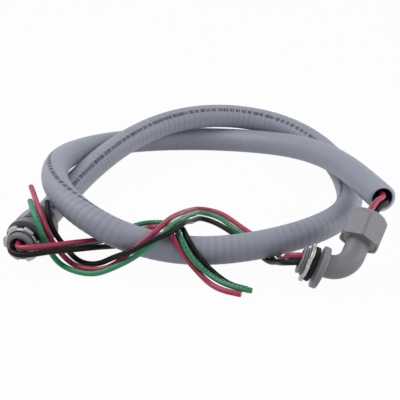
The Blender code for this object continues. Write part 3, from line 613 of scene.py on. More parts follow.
class Nodes:
    """Short ways to add nodes to a material and wire them."""

    def __init__(self, name):
        self.material = bpy.data.materials.new(name)
        self.material.use_nodes = True
        self.tree = self.material.node_tree
        self.shader = self.tree.nodes["Principled BSDF"]

    def add(self, kind, settings=None, **inputs):
        """A node with its own settings, and inputs that are values or other nodes' outputs."""
        made = self.tree.nodes.new(kind)
        for key, value in (settings or {}).items():
            setattr(made, key, value)
        for key, value in inputs.items():
            self.feed(made.inputs[int(key[1:]) if key[1:].isdigit() else key.replace("_", " ")], value)
        return made

    def feed(self, socket, value):
        """A value or a link into a socket."""
        if isinstance(value, bpy.types.NodeSocket):
            self.tree.links.new(value, socket)
        else:
            socket.default_value = value

    def sums(self, operation, first, second=0.0):
        """One step of arithmetic."""
        return self.add("ShaderNodeMath", {"operation": operation}, i0=first, i1=second).outputs[0]

    def noise(self, vector, scale, detail=3.0, rough=0.55):
        """Cloudy noise from 0 to 1."""
        made = self.add("ShaderNodeTexNoise", Vector=vector, Scale=scale, Detail=detail, Roughness=rough)
        return made.outputs["Fac"]

    def spread(self, value, low, high, to_low, to_high):
        """A value moved from one range to another, held at the ends."""
        made = self.add("ShaderNodeMapRange", {"clamp": True}, Value=value, From_Min=low, From_Max=high)
        self.feed(made.inputs["To Min"], to_low)
        self.feed(made.inputs["To Max"], to_high)
        return made.outputs["Result"]

    def blend(self, share, first, second):
        """Mix of two colours."""
        made = self.add("ShaderNodeMix", {"data_type": "RGBA"})
        self.feed(made.inputs["Factor"], share)
        self.feed(made.inputs[6], first)
        self.feed(made.inputs[7], second)
        return made.outputs[2]

    def coordinates(self, which="Object", stretch=(1.0, 1.0, 1.0)):
        """Object or UV coordinates, stretched."""
        source = self.add("ShaderNodeTexCoord").outputs[which]
        return self.add("ShaderNodeMapping", Vector=source, Scale=stretch).outputs["Vector"]

    def relief(self, height, distance, strength=1.0):
        """A bump on the shader's normal."""
        bump = self.add("ShaderNodeBump", Height=height, Distance=distance, Strength=strength)
        self.feed(self.shader.inputs["Normal"], bump.outputs["Normal"])

    def along_and_round(self):
        """The two UV values of a piece, in metres along it and round it."""
        split = self.add("ShaderNodeSeparateXYZ", Vector=self.add("ShaderNodeTexCoord").outputs["UV"])
        return split.outputs["X"], split.outputs["Y"]

    def attribute(self, name):
        """A value that the mesh carries at its points."""
        return self.add("ShaderNodeAttribute", {"attribute_name": name}).outputs["Fac"]

    def coat(self, colour, cloud, low, high):
        """The shader's colour, and its roughness from low to high as the cloudy noise rises."""
        self.feed(self.shader.inputs["Base Color"], colour)
        self.feed(self.shader.inputs["Roughness"], self.spread(cloud, CLOUD_LOW, CLOUD_HIGH, low, high))

    def fixed(self, **values):
        """Values that are the same all over, on the shader's own sockets."""
        for key, value in values.items():
            self.shader.inputs[key.replace("_", " ")].default_value = value


def shade(colour, factor):
    """A colour made lighter or darker, with its alpha kept."""
    return tuple(min(1.0, part * factor) for part in colour[:3]) + (1.0,)


def hose_finish(look):
    """Satin PVC: soft blotches, painted shade in the grooves and the bore, and a row of print marks on one
    side.

    UV runs in metres, along the hose and round it from the middle of the print.
    """
    made = Nodes("ribbed_pvc")
    spot = made.coordinates()
    base = made.blend(made.noise(spot, 55.0), shade(look.colour, 0.93), shade(look.colour, 1.06))
    # Painted shade in the grooves between the ribs, stronger in cloudy patches
    groove = made.attribute("groove")
    patches = made.spread(made.noise(spot, 17.0), 0.40, 0.62, to_low=0.05, to_high=1.0)
    painted_groove_shade = made.sums("MULTIPLY", patches, look.groove_shade)
    base = made.blend(made.sums("MULTIPLY", groove, painted_groove_shade), base, shade(look.colour, 0.35))
    base = made.blend(print_ink(made, look, spot), base, tuple(look.print_colour) + (1.0,))
    # Painted shade down the bore: the inside rows are a tenth as light as the hose
    inside = made.attribute("inside")
    base = made.blend(inside, base, shade(look.colour, 0.10))
    # Painted highlight on the mouth's rim, 1.8 times as light as the hose
    cut = made.attribute("cut")
    base = made.blend(cut, base, shade(look.colour, 1.8))
    made.coat(base, made.noise(spot, 300.0), 0.40, 0.56)
    made.relief(made.noise(spot, 1400.0, detail=2.0), 0.06 * MM, strength=0.5)
    return made.material


def print_ink(made, look, spot):
    """Share of ink: upright strokes of uneven width in short groups, worn away in places."""
    place, beside = made.along_and_round()
    mark = made.sums("DIVIDE", place, look.print_pitch)
    order = made.sums("FLOOR", mark)
    pick = made.add("ShaderNodeTexWhiteNoise", {"noise_dimensions": "1D"}, W=order).outputs["Value"]
    width = made.spread(pick, 0.0, 1.0, *MARK_WIDTHS)
    stroke = made.sums("LESS_THAN", made.sums("FRACT", mark), width)
    gap = 1.0 - GAP_MARKS / look.group
    turn = made.sums("FRACT", made.sums("DIVIDE", order, look.group))
    joined = made.sums("LESS_THAN", pick, JOINED_SHARE)
    group = made.sums("MAXIMUM", made.sums("LESS_THAN", turn, gap), joined)
    height = made.sums("MULTIPLY", look.print_height, made.spread(pick, 0.3, 0.5, *MARK_HALF_HEIGHTS))
    inside = made.sums("LESS_THAN", made.sums("ABSOLUTE", beside), height)
    worn = made.spread(made.noise(spot, 700.0), 0.3, 0.55, to_low=0.75, to_high=1.0)
    ink = made.sums("MULTIPLY", made.sums("MULTIPLY", stroke, group), inside)
    return made.sums("MULTIPLY", ink, worn)


def moulded_finish(name, colour, roughness):
    """Moulded plastic: faint flow marks, a fine grain and slightly uneven gloss."""
    made = Nodes(name)
    spot = made.coordinates()
    base = made.blend(made.noise(spot, 120.0, detail=4.0), shade(colour, 0.90), shade(colour, 1.10))
    made.coat(base, made.noise(spot, 400.0), roughness - 0.07, roughness + 0.09)
    made.relief(made.noise(spot, 2200.0, detail=2.0), 0.05 * MM, strength=0.5)
    return made.material


def jacket_finish(name, colour, gloss, shine, ink):
    """Nylon-jacketed insulation: glossy, with faint wrinkles along the wire and slight dye changes.

    ink is how dark the row of plain tick marks along the wire is, and 0 leaves it off.
    """
    made = Nodes(name)
    skin = made.coordinates("UV", (60.0, 700.0, 1.0))
    base = made.blend(made.noise(made.coordinates(), 90.0), shade(colour, 0.86), shade(colour, 1.12))
    place, beside = made.along_and_round()
    turn = made.sums("FRACT", made.sums("DIVIDE", place, TICK_PITCH))
    tick = made.sums("LESS_THAN", turn, TICK_SHARE)
    off = made.sums("ABSOLUTE", made.sums("SUBTRACT", beside, TICK_PLACE))
    marked = made.sums("MULTIPLY", tick, made.sums("LESS_THAN", off, TICK_REACH))
    base = made.blend(made.sums("MULTIPLY", marked, ink), base, shade(colour, 0.15))
    made.coat(base, made.noise(skin, 1.0), gloss, gloss + 0.14)
    made.relief(made.noise(skin, 2.0), 0.12 * MM, strength=0.6)
    made.fixed(Coat_Weight=0.5 * shine, Coat_Roughness=0.18, Specular_IOR_Level=shine)
    return made.material


def rubber_finish(colour):
    """Matt black rubber with a pitted skin and a few dusty specks."""
    made = Nodes("gasket_rubber")
    spot = made.coordinates()
    dust = made.spread(made.noise(spot, 500.0, detail=5.0), 0.62, 0.85, to_low=0.0, to_high=0.3)
    base = made.blend(dust, shade(colour, 1.0), (0.05, 0.05, 0.05, 1.0))
    made.coat(base, made.noise(spot, 700.0), 0.6, 0.8)
    made.relief(made.noise(spot, 2600.0), 0.08 * MM, strength=0.7)
    made.fixed(Specular_IOR_Level=0.2)
    return made.material


def metal_finish(name, colour, roughness, scale):
    """Plated or drawn metal: faint rolling lines, cloudy plating and uneven gloss."""
    made = Nodes(name)
    cloud = made.noise(made.coordinates(), scale, detail=4.0)
    base = made.blend(cloud, shade(colour, 0.75), shade(colour, 1.1))
    lines = made.noise(made.coordinates("Object", (4.0, 4.0, 40.0)), scale)
    made.coat(base, lines, roughness - 0.08, roughness + 0.12)
    made.relief(lines, 0.04 * MM, strength=0.5)
    made.fixed(Metallic=1.0)
    return made.material


def length_setting(name, description, default):
    """A length that a user can change."""
    return FloatProperty(name=name, description=description, default=default, unit="LENGTH")


def share_setting(name, description, default):
    """A share from 0 to 1 that a user can change."""
    return FloatProperty(
        name=name, description=description, default=default, min=0.0, max=1.0, subtype="FACTOR"
    )


def colour_setting(name, description, default):
    """A colour that a user can change."""
    return FloatVectorProperty(name=name, description=description, default=default, subtype="COLOR")


class HoseLook(bpy.types.PropertyGroup):
    """Sizes and colours of the ribbed hose."""

    radius: length_setting("Outer radius", "Radius over the ribs", 10.65 * MM)
    bore: length_setting("Bore radius", "Radius of the bore", 7.9 * MM)
    rib_pitch: length_setting("Rib pitch", "Distance from rib to rib", 5.7 * MM)
    rib_depth: length_setting("Rib depth", "Depth of the groove between ribs", 0.08 * MM)
    columns: IntProperty(name="Columns", description="Points round the hose", default=36, min=12)
    rib_rows: IntProperty(name="Rows a rib", description="Points along one rib", default=8, min=4)
    smooth_end: length_setting("Smooth end", "Length of smoother hose by the mouth", 320.0 * MM)
    smooth_share: share_setting("Smooth share", "How much of the ribs is gone at the smooth end", 0.7)
    # Strength of the painted shade in the grooves
    groove_shade: share_setting("Groove shade", "How dark the grooves are", 0.23)
    print_pitch: length_setting("Mark pitch", "Distance between print marks", 1.45 * MM)
    print_height: length_setting("Mark height", "Height of the print marks", 3.6 * MM)
    group: FloatProperty(name="Marks a group", description="Marks from gap to gap", default=4.0, min=1.0)
    colour: colour_setting("Hose colour", "Colour of the PVC", (0.330, 0.350, 0.428))
    print_colour: colour_setting("Mark colour", "Colour of the print marks", (0.022, 0.024, 0.036))


class WireLook(bpy.types.PropertyGroup):
    """Sizes and colours of the wires."""

    radius: length_setting("Wire radius", "Radius over the insulation", 2.085 * MM)
    core: length_setting("Core radius", "Radius of the core", 1.45 * MM)
    columns: IntProperty(name="Columns", description="Points round a wire", default=20, min=8)
    black: colour_setting("Black", "Colour of the black wire", (0.006, 0.006, 0.007))
    red: colour_setting("Red", "Colour of the red wire", (0.46, 0.028, 0.096))
    green: colour_setting("Green", "Colour of the green wire", (0.022, 0.278, 0.130))
    copper: colour_setting("Copper", "Colour of the strands", (0.78, 0.36, 0.20))


class ConnectorLook(bpy.types.PropertyGroup):
    """Sizes and colours of the connectors."""

    flats: length_setting("Across flats", "Width of the hexagons", 28.0 * MM)
    thread_pitch: length_setting("Thread pitch", "Travel of a nut in one turn", 1.814 * MM)
    thread_depth: length_setting("Thread depth", "Depth of the threads", 0.85 * MM)
    colour: colour_setting("Connector colour", "Colour of bodies and nuts", (0.224, 0.225, 0.254))
    inner_colour: colour_setting("Inner colour", "Colour of ferrules and rings", (0.42, 0.42, 0.43))
    rubber: colour_setting("Rubber", "Colour of the gaskets", (0.008, 0.008, 0.009))
    steel: colour_setting("Steel", "Colour of the locknuts", (0.45, 0.447, 0.436))


class StageLook(bpy.types.PropertyGroup):
    """Floor, lamps and world."""

    key: FloatProperty(name="Key", description="Power of the lamp on the left", default=7.6, unit="POWER")
    fill: FloatProperty(name="Fill", description="Power of the lamp on the right", default=5.6, unit="POWER")
    world: FloatProperty(name="World", description="Strength of the world's light", default=0.31, min=0.0)
    shadow: share_setting("Shadow", "How much of the shadow the white floor keeps", 0.035)


def seen_share(tree):
    """A value that is 1 for rays from the camera and from mirror-like surfaces, and 0 for the rest."""
    light = tree.nodes.new("ShaderNodeLightPath")
    total = light.outputs["Is Camera Ray"]
    for name in ("Is Glossy Ray", "Is Transmission Ray"):
        step = tree.nodes.new("ShaderNodeMath")
        step.operation = "MAXIMUM"
        tree.links.new(total, step.inputs[0])
        tree.links.new(light.outputs[name], step.inputs[1])
        total = step.outputs[0]
    return total


class WHIP_OT_stage(bpy.types.Operator):
    """Set up the camera, the white floor, the lamps and the world"""

    bl_idname = "whip.stage"
    bl_label = "Stage"

    def execute(self, context):
        scene = context.scene
        look = scene.whip_stage
        scene.view_settings.view_transform = "Standard"
        self.camera(scene)
        self.floor(scene, look)
        self.lamps(scene, look)
        self.world(scene, look)
        return {"FINISHED"}

    def camera(self, scene):
        data = bpy.data.cameras.new("photo_camera")
        data.lens = CAMERA_LENS
        camera = bpy.data.objects.new("photo_camera", data)
        camera.location = CAMERA_PLACE
        camera.rotation_euler = (math.radians(CAMERA_PITCH), 0.0, 0.0)
        scene.collection.objects.link(camera)
        scene.camera = camera

    def floor(self, scene, look):
        low, high = -FLOOR_HALF, FLOOR_HALF
        mesh = bpy.data.meshes.new("floor")
        square = ((low, low), (high, low), (high, high), (low, high))
        mesh.from_pydata([corner + (FLOOR_DROP,) for corner in square], [], [(0, 1, 2, 3)])
        floor = bpy.data.objects.new("floor", mesh)
        scene.collection.objects.link(floor)
        made = Nodes("white_floor")
        made.fixed(Base_Color=FLOOR_GREY, Roughness=0.9, Specular_IOR_Level=0.0)
        glow = made.add("ShaderNodeEmission", Color=WHITE).outputs[0]
        share = made.sums("MULTIPLY", seen_share(made.tree), 1.0 - look.shadow)
        mix = made.add("ShaderNodeMixShader", i0=share, i1=made.shader.outputs[0], i2=glow)
        made.feed(made.tree.nodes["Material Output"].inputs["Surface"], mix.outputs[0])
        mesh.materials.append(made.material)

    def lamps(self, scene, look):
        for name, power, place, turn in (
            ("key_softbox", look.key, KEY_PLACE, KEY_TURN),
            ("fill_softbox", look.fill, FILL_PLACE, FILL_TURN),
        ):
            data = bpy.data.lights.new(name, "AREA")
            data.energy = power
            data.size = LAMP_SIZE
            lamp = bpy.data.objects.new(name, data)
            lamp.location = place
            lamp.rotation_euler = [math.radians(part) for part in turn]
            scene.collection.objects.link(lamp)

    def world(self, scene, look):
        world = bpy.data.worlds.new("white_room")
        world.use_nodes = True
        tree = world.node_tree
        back = tree.nodes["Background"]
        back.inputs["Color"].default_value = WHITE
        strength = tree.nodes.new("ShaderNodeMapRange")
        strength.inputs["To Min"].default_value = look.world
        strength.inputs["To Max"].default_value = 1.0
        tree.links.new(seen_share(tree), strength.inputs["Value"])
        tree.links.new(strength.outputs["Result"], back.inputs["Strength"])
        scene.world = world


class WHIP_OT_hose(bpy.types.Operator):
    """Make the ribbed hose with its bore and its row of print marks"""

    bl_idname = "whip.hose"
    bl_label = "Hose"

    def execute(self, context):
        look = context.scene.whip_hose
        line = coil_line()
        length = along(line)[-1]
        place, radius, turn, marks = self.section(look, line, length)
        points = carried(line, place, radius, turn)
        points[..., 2] = np.maximum(points[..., 2], 0.0)
        across = np.linspace(-math.pi, math.pi, look.columns + 1) * look.radius
        mesh = surface("ribbed_hose", points, True, across, place, marks)
        hose = put_piece("ribbed_hose", mesh, hose_finish(look), "whip", "conduit")
        return {"FINISHED"}

    def section(self, look, line, length):
        """Rows along the outside, round the mouth's rim and back down the bore.

        Outer radius = radius - depth (half - half cos(2 pi (place / pitch - angle / 2 pi))) ** sharpness, so
        the grooves climb as one spiral. It runs out to a plain rim at both ends, and it is shallower over
        the smooth end by the mouth.
        """
        rim = HOSE_RIM
        rows = int(round(length / look.rib_pitch * look.rib_rows))
        outer = np.linspace(rim, length - rim, rows)
        inner = np.linspace(length - rim, rim, int(length / (RIBS_A_BORE_ROW * look.rib_pitch)))
        place = np.concatenate([outer, [length, length], inner, [0.0, 0.0]])
        around = np.linspace(-math.pi, math.pi, look.columns, endpoint=False)[None, :]
        wave = 0.5 - 0.5 * np.cos(2 * math.pi * outer[:, None] / look.rib_pitch - around)
        plain = ramp(outer, 0.0, look.rib_pitch) * (1.0 - ramp(outer, length - look.rib_pitch, length))
        smooth = ramp(outer, length - look.smooth_end, length - 0.5 * look.smooth_end)
        plain *= 1.0 - look.smooth_share * smooth
        # The groove share sets the depth of the ribs and the strength of the painted shade in the grooves
        groove = np.zeros((len(place), look.columns))
        groove[:rows] = wave ** RIB_SHARPNESS * plain[:, None]
        rims = [look.radius - rim, look.bore + rim]
        bore = np.full(len(inner), look.bore)
        plain_radius = np.concatenate([np.full(rows, look.radius), rims, bore, rims[::-1]])
        inside, cut = np.zeros_like(groove), np.zeros_like(groove)
        # inside marks the bore's rows for painted shade
        inside[rows + 2:-2] = 1.0
        # cut marks the mouth's rim for a painted highlight
        cut[rows:rows + 2] = 1.0
        radius = plain_radius[:, None] - look.rib_depth * groove
        print_turn, print_angle = np.array(PRINT_STATIONS).T
        stations = np.array(COIL_STATIONS)[:, 0]
        knots = LEAD_POINTS + SPAN_POINTS * np.arange(1, len(stations) + 1)
        knot_place = np.append(0.0, along(line)[knots])
        turn_here = np.interp(place, knot_place, np.append(print_turn[0], stations))
        turn = np.radians(np.interp(turn_here, print_turn, print_angle))[:, None] + around
        return place, radius, turn, {"groove": groove, "inside": inside, "cut": cut}


class WHIP_OT_wires(bpy.types.Operator):
    """Make the three wires: two free tails and the hidden run of each, with strands at the tips"""

    bl_idname = "whip.wires"
    bl_label = "Wires"

    def execute(self, context):
        look = context.scene.whip_wires
        copper = metal_finish("copper_strands", look.copper, roughness=0.3, scale=800.0)
        for colour, (gloss, shine, ink) in WIRE_FINISHES.items():
            finish = jacket_finish(f"{colour}_jacket", getattr(look, colour), gloss, shine, ink)
            straight_tail, run, elbow_tail = wire_sections(colour)
            node, slot = f"{colour}_wire", f"insulation_{colour}"
            self.run(look, f"{colour}_run", run, finish, node, slot)
            for end, line in (("straight", straight_tail), ("elbow", elbow_tail)):
                route = eased(even_line(line, TAIL_STEP), TAIL_EASING[end])
                self.tail(look, f"{colour}_{end}_tail", route, finish, copper, node, slot)
        return {"FINISHED"}

    def sleeve(self, look, name, line, step, recess):
        """A tube along the line whose ends are cut square, with the core's hole sunk by recess."""
        length = along(line)[-1]
        middle = np.linspace(WIRE_EDGE, length - WIRE_EDGE, int(length / step))
        place = np.concatenate([[recess, 0.0, 0.0], middle, [length, length, length - recess]])
        body = np.full(len(middle), look.radius)
        rim = look.radius - WIRE_EDGE
        radius = np.concatenate([[look.core, look.core, rim], body, [rim, look.core, look.core]])
        angles = ring_angles(look.columns)
        across = np.linspace(0.0, 2 * math.pi, look.columns + 1) * look.radius
        return surface(name, carried(line, place, radius, angles), False, across, place)

    def run(self, look, name, line, finish, node, slot):
        mesh = self.sleeve(look, name, even_line(line, RUN_STEP), RUN_STEP, RUN_RECESS)
        put_piece(name, mesh, finish, "whip", node)

    def tail(self, look, name, route, finish, copper, node, slot):
        sleeve = self.sleeve(look, name, route, TAIL_STEP, TAIL_RECESS)
        tail = put_piece(name, sleeve, finish, "whip", node)
        strands = put_piece(f"{name}_strands", self.strands(look, name, route), copper, "whip", node)

    def strands(self, look, name, route):
        """Nineteen round strands in two rings about one, laid side by side in the core's hole."""
        size = look.core / CORE_STRANDS
        ring = np.repeat(np.arange(len(STRAND_RINGS)), STRAND_RINGS)
        order = np.concatenate([np.arange(count) / count for count in STRAND_RINGS])
        angle = order * 2 * math.pi + ring * STRAND_TWIST
        heading, side, rise = (part[-1] for part in path_frame(route))
        offset = ring[:, None] * 2 * size * (np.cos(angle)[:, None] * side + np.sin(angle)[:, None] * rise)
        depth = np.array(STRAND_DEPTHS) * MM
        width = np.array(STRAND_WIDTHS) * size
        turn = ring_angles(STRAND_SIDES)
        circle = np.cos(turn)[:, None] * side + np.sin(turn)[:, None] * rise
        one = -depth[:, None, None] * heading + width[:, None, None] * circle
        return tube_bundle(f"{name}_strands", route[-1] + offset[:, None, None] + one)


def tube_bundle(name, points):
    """Many short tubes with flat ends as one mesh; points has a tube a row, then rings, then corners."""
    order = np.arange(points[..., 0].size).reshape(points.shape[:3])
    beside = np.roll(order, -1, axis=2)
    quads = np.stack([order[:, :-1], order[:, 1:], beside[:, 1:], beside[:, :-1]], axis=-1).reshape(-1, 4)
    mesh = bpy.data.meshes.new(name)
    ends = order[:, 0].tolist() + order[:, -1, ::-1].tolist()
    mesh.from_pydata(points.reshape(-1, 3).tolist(), [], quads.tolist() + ends)
    mesh.shade_smooth()
    return mesh


class WHIP_OT_bodies(bpy.types.Operator):
    """Make the straight body and the elbow body with their threads"""

    bl_idname = "whip.bodies"
    bl_label = "Connector bodies"

    def execute(self, context):
        look = context.scene.whip_connectors
        finish = moulded_finish("connector_plastic", look.colour, roughness=0.42)
        self.straight(look, finish)
        self.elbow(look, finish)
        return {"FINISHED"}

    def nose(self, face):
        """Corners of the nose and the flange's rim, from the tip; face is the flange's place."""
        tip = face - NOSE_LENGTH
        return [
            (tip, NOSE_RADIUS - NOSE_CHAMFER, 0, CRISP), (tip + NOSE_CHAMFER, NOSE_RADIUS, 0, CRISP),
            (face, NOSE_RADIUS, 0, SOFT), (face, FLANGE_RADIUS, 0, ROUNDER),
            (face + FLANGE_THICKNESS - FLANGE_EDGE, FLANGE_RADIUS, 0, ROUND),
        ]

    def boss(self, front, start, passage, share):
        """Corners of the gland boss and of its socket, then the passage; front is the nut's place."""
        end = front + BOSS_END
        floor = front + SOCKET_FLOOR
        return [
            (start, BOSS_RADIUS, share, SOFT), (end, BOSS_RADIUS, share, ROUND),
            (end, SOCKET_RADIUS, share, SOFT), (floor, SOCKET_RADIUS, share, SOFT),
            (floor, passage, share, SOFT),
        ]

    def threaded(self, look, face, front, start):
        """The change of radius that cuts threads in the nose and the boss, on the outer side only."""
        pitch, depth = look.thread_pitch, look.thread_depth
        edge = THREAD_EDGE

        def shape(place, radius, angles):
            nose = thread_groove(place, angles, face - NOSE_LENGTH + edge, face - edge, pitch, depth)
            boss = thread_groove(place, angles, start + edge, front + BOSS_END - edge, pitch, depth)
            on_nose = np.abs(radius - NOSE_RADIUS) < SAME_RADIUS
            on_boss = np.abs(radius - BOSS_RADIUS) < SAME_RADIUS
            return radius - on_nose * nose - on_boss * boss

        return shape

    def straight(self, look, finish):
        axis = straight_axis()
        line = STRAIGHT_FACE + np.linspace(-NOSE_LENGTH, STRAIGHT_LEAD, AXIS_POINTS)[:, None] * axis
        face = NOSE_LENGTH
        back = face + FLANGE_THICKNESS
        hex_end = back + HEX_LENGTH
        front = hex_end + HEX_GAP
        corner = look.flats / math.sqrt(3.0)
        corners = self.nose(face) + [
            (back, FLANGE_RADIUS - FLANGE_EDGE, HEX_ROOT_SHARE, ROUND),
            (back + HEX_STEP, corner, 1, TIGHT), (hex_end - HEX_EDGE, corner, 1, SOFT),
            (hex_end, corner - HEX_DROP, 1, SOFT),
        ]
        corners += self.boss(front, hex_end, PASSAGE_RADIUS, 0) + [(0.0, PASSAGE_RADIUS, 0, SOFT)]
        put_turned(
            "straight_shell", line, corners, finish, "whip", "straight_body", "connector_grey",
            step=THREAD_STEP, flats=look.flats, shape=self.threaded(look, face, front, hex_end),
        )

    def elbow(self, look, finish):
        nose, _, offset = elbow_axes()
        line = elbow_line(ELBOW_FACE + NOSE_LENGTH * nose + offset, BOSS_END + PROFILE_SPARE) - offset
        face = NOSE_LENGTH
        back = face + FLANGE_THICKNESS
        front = back + ELBOW_BEND_RADIUS * elbow_bend() + ELBOW_GLAND_RUN
        start = front + ELBOW_BOSS_START
        corners = self.nose(face) + [
            (back, FLANGE_RADIUS - FLANGE_EDGE, 0, ROUND),
            (back, ELBOW_TUBE_RADIUS, 1, BROAD), (start, ELBOW_TUBE_RADIUS, 1, SOFT),
        ]
        corners += self.boss(front, start, ELBOW_PASSAGE_RADIUS, 1) + [
            (back, ELBOW_PASSAGE_RADIUS, 1, SOFT), (0.0, ELBOW_PASSAGE_RADIUS, 0, SOFT),
        ]
        put_turned(
            "elbow_shell", line, corners, finish, "whip", "elbow_body", "connector_grey",
            columns=72, step=THREAD_STEP, shift=offset, shape=self.threaded(look, face, front, start),
        )


def gland_lines():
    """For each connector: its name, a line up its gland from the nut's front, and the nut's turn."""
    reach = np.linspace(0.0, NUT_LENGTH, AXIS_POINTS)[:, None]
    return (
        ("straight", straight_gland() + reach * straight_axis(), STRAIGHT_NUT_TURN),
        ("elbow", elbow_gland() + reach * elbow_axes()[1], ELBOW_NUT_TURN),
    )


def nose_lines():
    """For each connector: its name and a straight line out along its nose from the flange's face."""
    reach = np.linspace(0.0, NOSE_LENGTH, AXIS_POINTS)[:, None]
    return (
        ("straight", STRAIGHT_FACE - reach * straight_axis()),
        ("elbow", ELBOW_FACE + reach * elbow_axes()[0]),
    )


class WHIP_OT_gland_nuts(bpy.types.Operator):
    """Make the domed gland nuts"""

    bl_idname = "whip.gland_nuts"
    bl_label = "Gland nuts"

    def execute(self, context):
        look = context.scene.whip_connectors
        finish = moulded_finish("nut_plastic", look.colour, roughness=0.40)
        corner = look.flats / math.sqrt(3.0)
        shoulder = NUT_HEX_LENGTH + NUT_SHOULDER_RUN
        cone = NUT_THREAD_LENGTH + NUT_CONE_LENGTH
        corners = [
            (0.0, corner - NUT_CHAMFER, 1, ROUND), (NUT_CHAMFER, corner, 1, ROUND),
            (NUT_HEX_LENGTH, corner, 1, WIDE), (shoulder, corner - NUT_SHOULDER_DROP, 1, NUT_SHOULDER_DROP),
            (NUT_LENGTH, NUT_REAR_RADIUS, 1, BROAD), (NUT_LENGTH, NUT_MOUTH_RADIUS, 0, ROUND),
            (cone, NUT_MOUTH_RADIUS, 0, SOFT), (NUT_THREAD_LENGTH, NUT_THREAD_RADIUS, 0, SOFT),
            (0.0, NUT_THREAD_RADIUS, 0, ROUNDER),
        ]
        for prefix, line, turn in gland_lines():
            put_turned(
                f"{prefix}_dome_nut", line, corners, finish, f"{prefix}_nut", f"{prefix}_gland_nut",
                "connector_grey", step=PLAIN_STEP, flats=look.flats, turn=turn,
            )
        return {"FINISHED"}


class WHIP_OT_inner_parts(bpy.types.Operator):
    """Make the ferrules and the sealing rings inside the glands"""

    bl_idname = "whip.inner_parts"
    bl_label = "Ferrules and rings"

    def execute(self, context):
        look = context.scene.whip_connectors
        finish = moulded_finish("inner_plastic", look.inner_colour, roughness=0.45)
        sleeve = FERRULE_START + FERRULE_COLLAR
        end = FERRULE_START + FERRULE_LENGTH
        ferrule = [
            (FERRULE_START, FERRULE_COLLAR_RADIUS, 0, SOFT), (sleeve, FERRULE_COLLAR_RADIUS, 0, SOFT),
            (sleeve, FERRULE_RADIUS, 0, SOFT), (end - FERRULE_TAPER, FERRULE_RADIUS, 0, ROUND),
            (end, FERRULE_BORE_RADIUS + FERRULE_LIP, 0, CRISP), (end, FERRULE_BORE_RADIUS, 0, CRISP),
            (FERRULE_START, FERRULE_BORE_RADIUS, 0, SOFT),
        ]
        ring_end = RING_START + RING_LENGTH
        ring = [
            (RING_START, RING_RADIUS, 0, SOFT), (ring_end - RING_TAPER, RING_RADIUS, 0, ROUNDER),
            (ring_end, RING_REAR_RADIUS, 0, SOFT), (ring_end, SOCKET_RADIUS, 0, CRISP),
            (RING_START, SOCKET_RADIUS, 0, CRISP),
        ]
        for prefix, line, _ in gland_lines():
            put_turned(
                f"{prefix}_sleeve", line, ferrule, finish, "whip", f"{prefix}_ferrule", "ferrule_grey",
                columns=48,
            )
            put_turned(
                f"{prefix}_wedge_ring", line, ring, finish, f"{prefix}_seal", f"{prefix}_sealing_ring",
                "ferrule_grey", columns=48,
            )
        return {"FINISHED"}


class WHIP_OT_gaskets(bpy.types.Operator):
    """Make the rubber sealing washers on the noses"""

    bl_idname = "whip.gaskets"
    bl_label = "Gaskets"

    def execute(self, context):
        finish = rubber_finish(context.scene.whip_connectors.rubber)
        end = GASKET_START + GASKET_THICKNESS
        corners = [
            (GASKET_START, GASKET_RADIUS, 0, WIDE), (end, GASKET_RADIUS, 0, WIDE),
            (end, LOOSE_BORE_RADIUS, 0, ROUND), (GASKET_START, LOOSE_BORE_RADIUS, 0, ROUND),
        ]
        for prefix, line in nose_lines():
            put_turned(
                f"{prefix}_rubber_washer", line, corners, finish, f"{prefix}_washer", f"{prefix}_gasket",
                "rubber_black", step=PLAIN_STEP,
            )
        return {"FINISHED"}


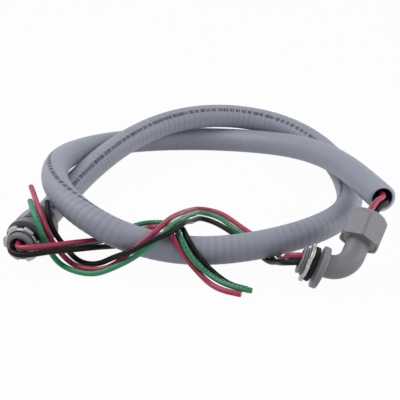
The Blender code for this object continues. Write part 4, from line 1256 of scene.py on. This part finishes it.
class WHIP_OT_locknuts(bpy.types.Operator):
    """Make the stamped steel locknuts with their lugs"""

    bl_idname = "whip.locknuts"
    bl_label = "Locknuts"

    def execute(self, context):
        look = context.scene.whip_connectors
        finish = metal_finish("zinc_plate", look.steel, roughness=0.33, scale=260.0)
        end = LOCKNUT_START + LOCKNUT_THICKNESS
        corners = [
            (LOCKNUT_START, LOCKNUT_RADIUS, 0, LOCKNUT_BACK), (end, LOCKNUT_RADIUS, 0, LOCKNUT_FRONT),
            (end, LOOSE_BORE_RADIUS, 0, ROUND), (LOCKNUT_START, LOOSE_BORE_RADIUS, 0, SOFT),
        ]
        for prefix, line in nose_lines():
            put_turned(
                f"{prefix}_lug_ring", line, corners, finish, f"{prefix}_lock", f"{prefix}_locknut",
                "zinc_steel", columns=180, step=LOCKNUT_STEP, shape=self.lugs,
            )
        return {"FINISHED"}

    def lugs(self, place, radius, angles):
        """Square lugs: the outer half of the ring is drawn out by a lug's height between its sides."""
        turn = np.abs(np.mod(angles * LOCKNUT_LUG_COUNT / (2 * math.pi) + 0.5, 1.0) - 0.5)
        lug = 1.0 - ramp(turn, LUG_TIP_SHARE, LUG_ROOT_SHARE)
        share = (radius - LOOSE_BORE_RADIUS) / (LOCKNUT_RADIUS - LOOSE_BORE_RADIUS)
        return radius + LOCKNUT_LUG * lug * np.clip(share, 0.0, 1.0)


class WHIP_PT_panel(bpy.types.Panel):
    """Buttons for the pieces of the whip"""

    bl_idname = "WHIP_PT_panel"
    bl_label = "Conduit Whip"
    bl_space_type = "VIEW_3D"
    bl_region_type = "UI"
    bl_category = "Whip"

    def draw(self, context):
        for operator in OPERATORS:
            self.layout.operator(operator.bl_idname)


LOOKS = {
    "whip_stage": StageLook,
    "whip_hose": HoseLook,
    "whip_wires": WireLook,
    "whip_connectors": ConnectorLook,
}
OPERATORS = (
    WHIP_OT_stage,
    WHIP_OT_hose,
    WHIP_OT_wires,
    WHIP_OT_bodies,
    WHIP_OT_gland_nuts,
    WHIP_OT_inner_parts,
    WHIP_OT_gaskets,
    WHIP_OT_locknuts,
)


def register():
    for name, look in LOOKS.items():
        bpy.utils.register_class(look)
        setattr(bpy.types.Scene, name, PointerProperty(type=look))
    for operator in OPERATORS:
        bpy.utils.register_class(operator)
    bpy.utils.register_class(WHIP_PT_panel)


def unregister():
    bpy.utils.unregister_class(WHIP_PT_panel)
    for operator in reversed(OPERATORS):
        bpy.utils.unregister_class(operator)
    for name, look in LOOKS.items():
        delattr(bpy.types.Scene, name)
        bpy.utils.unregister_class(look)


def main():
    register()
    bpy.ops.whip.stage()
    bpy.ops.whip.hose()
    bpy.ops.whip.wires()
    bpy.ops.whip.bodies()
    bpy.ops.whip.gland_nuts()
    bpy.ops.whip.inner_parts()
    bpy.ops.whip.gaskets()
    bpy.ops.whip.locknuts()


if __name__ == "__main__":
    main()
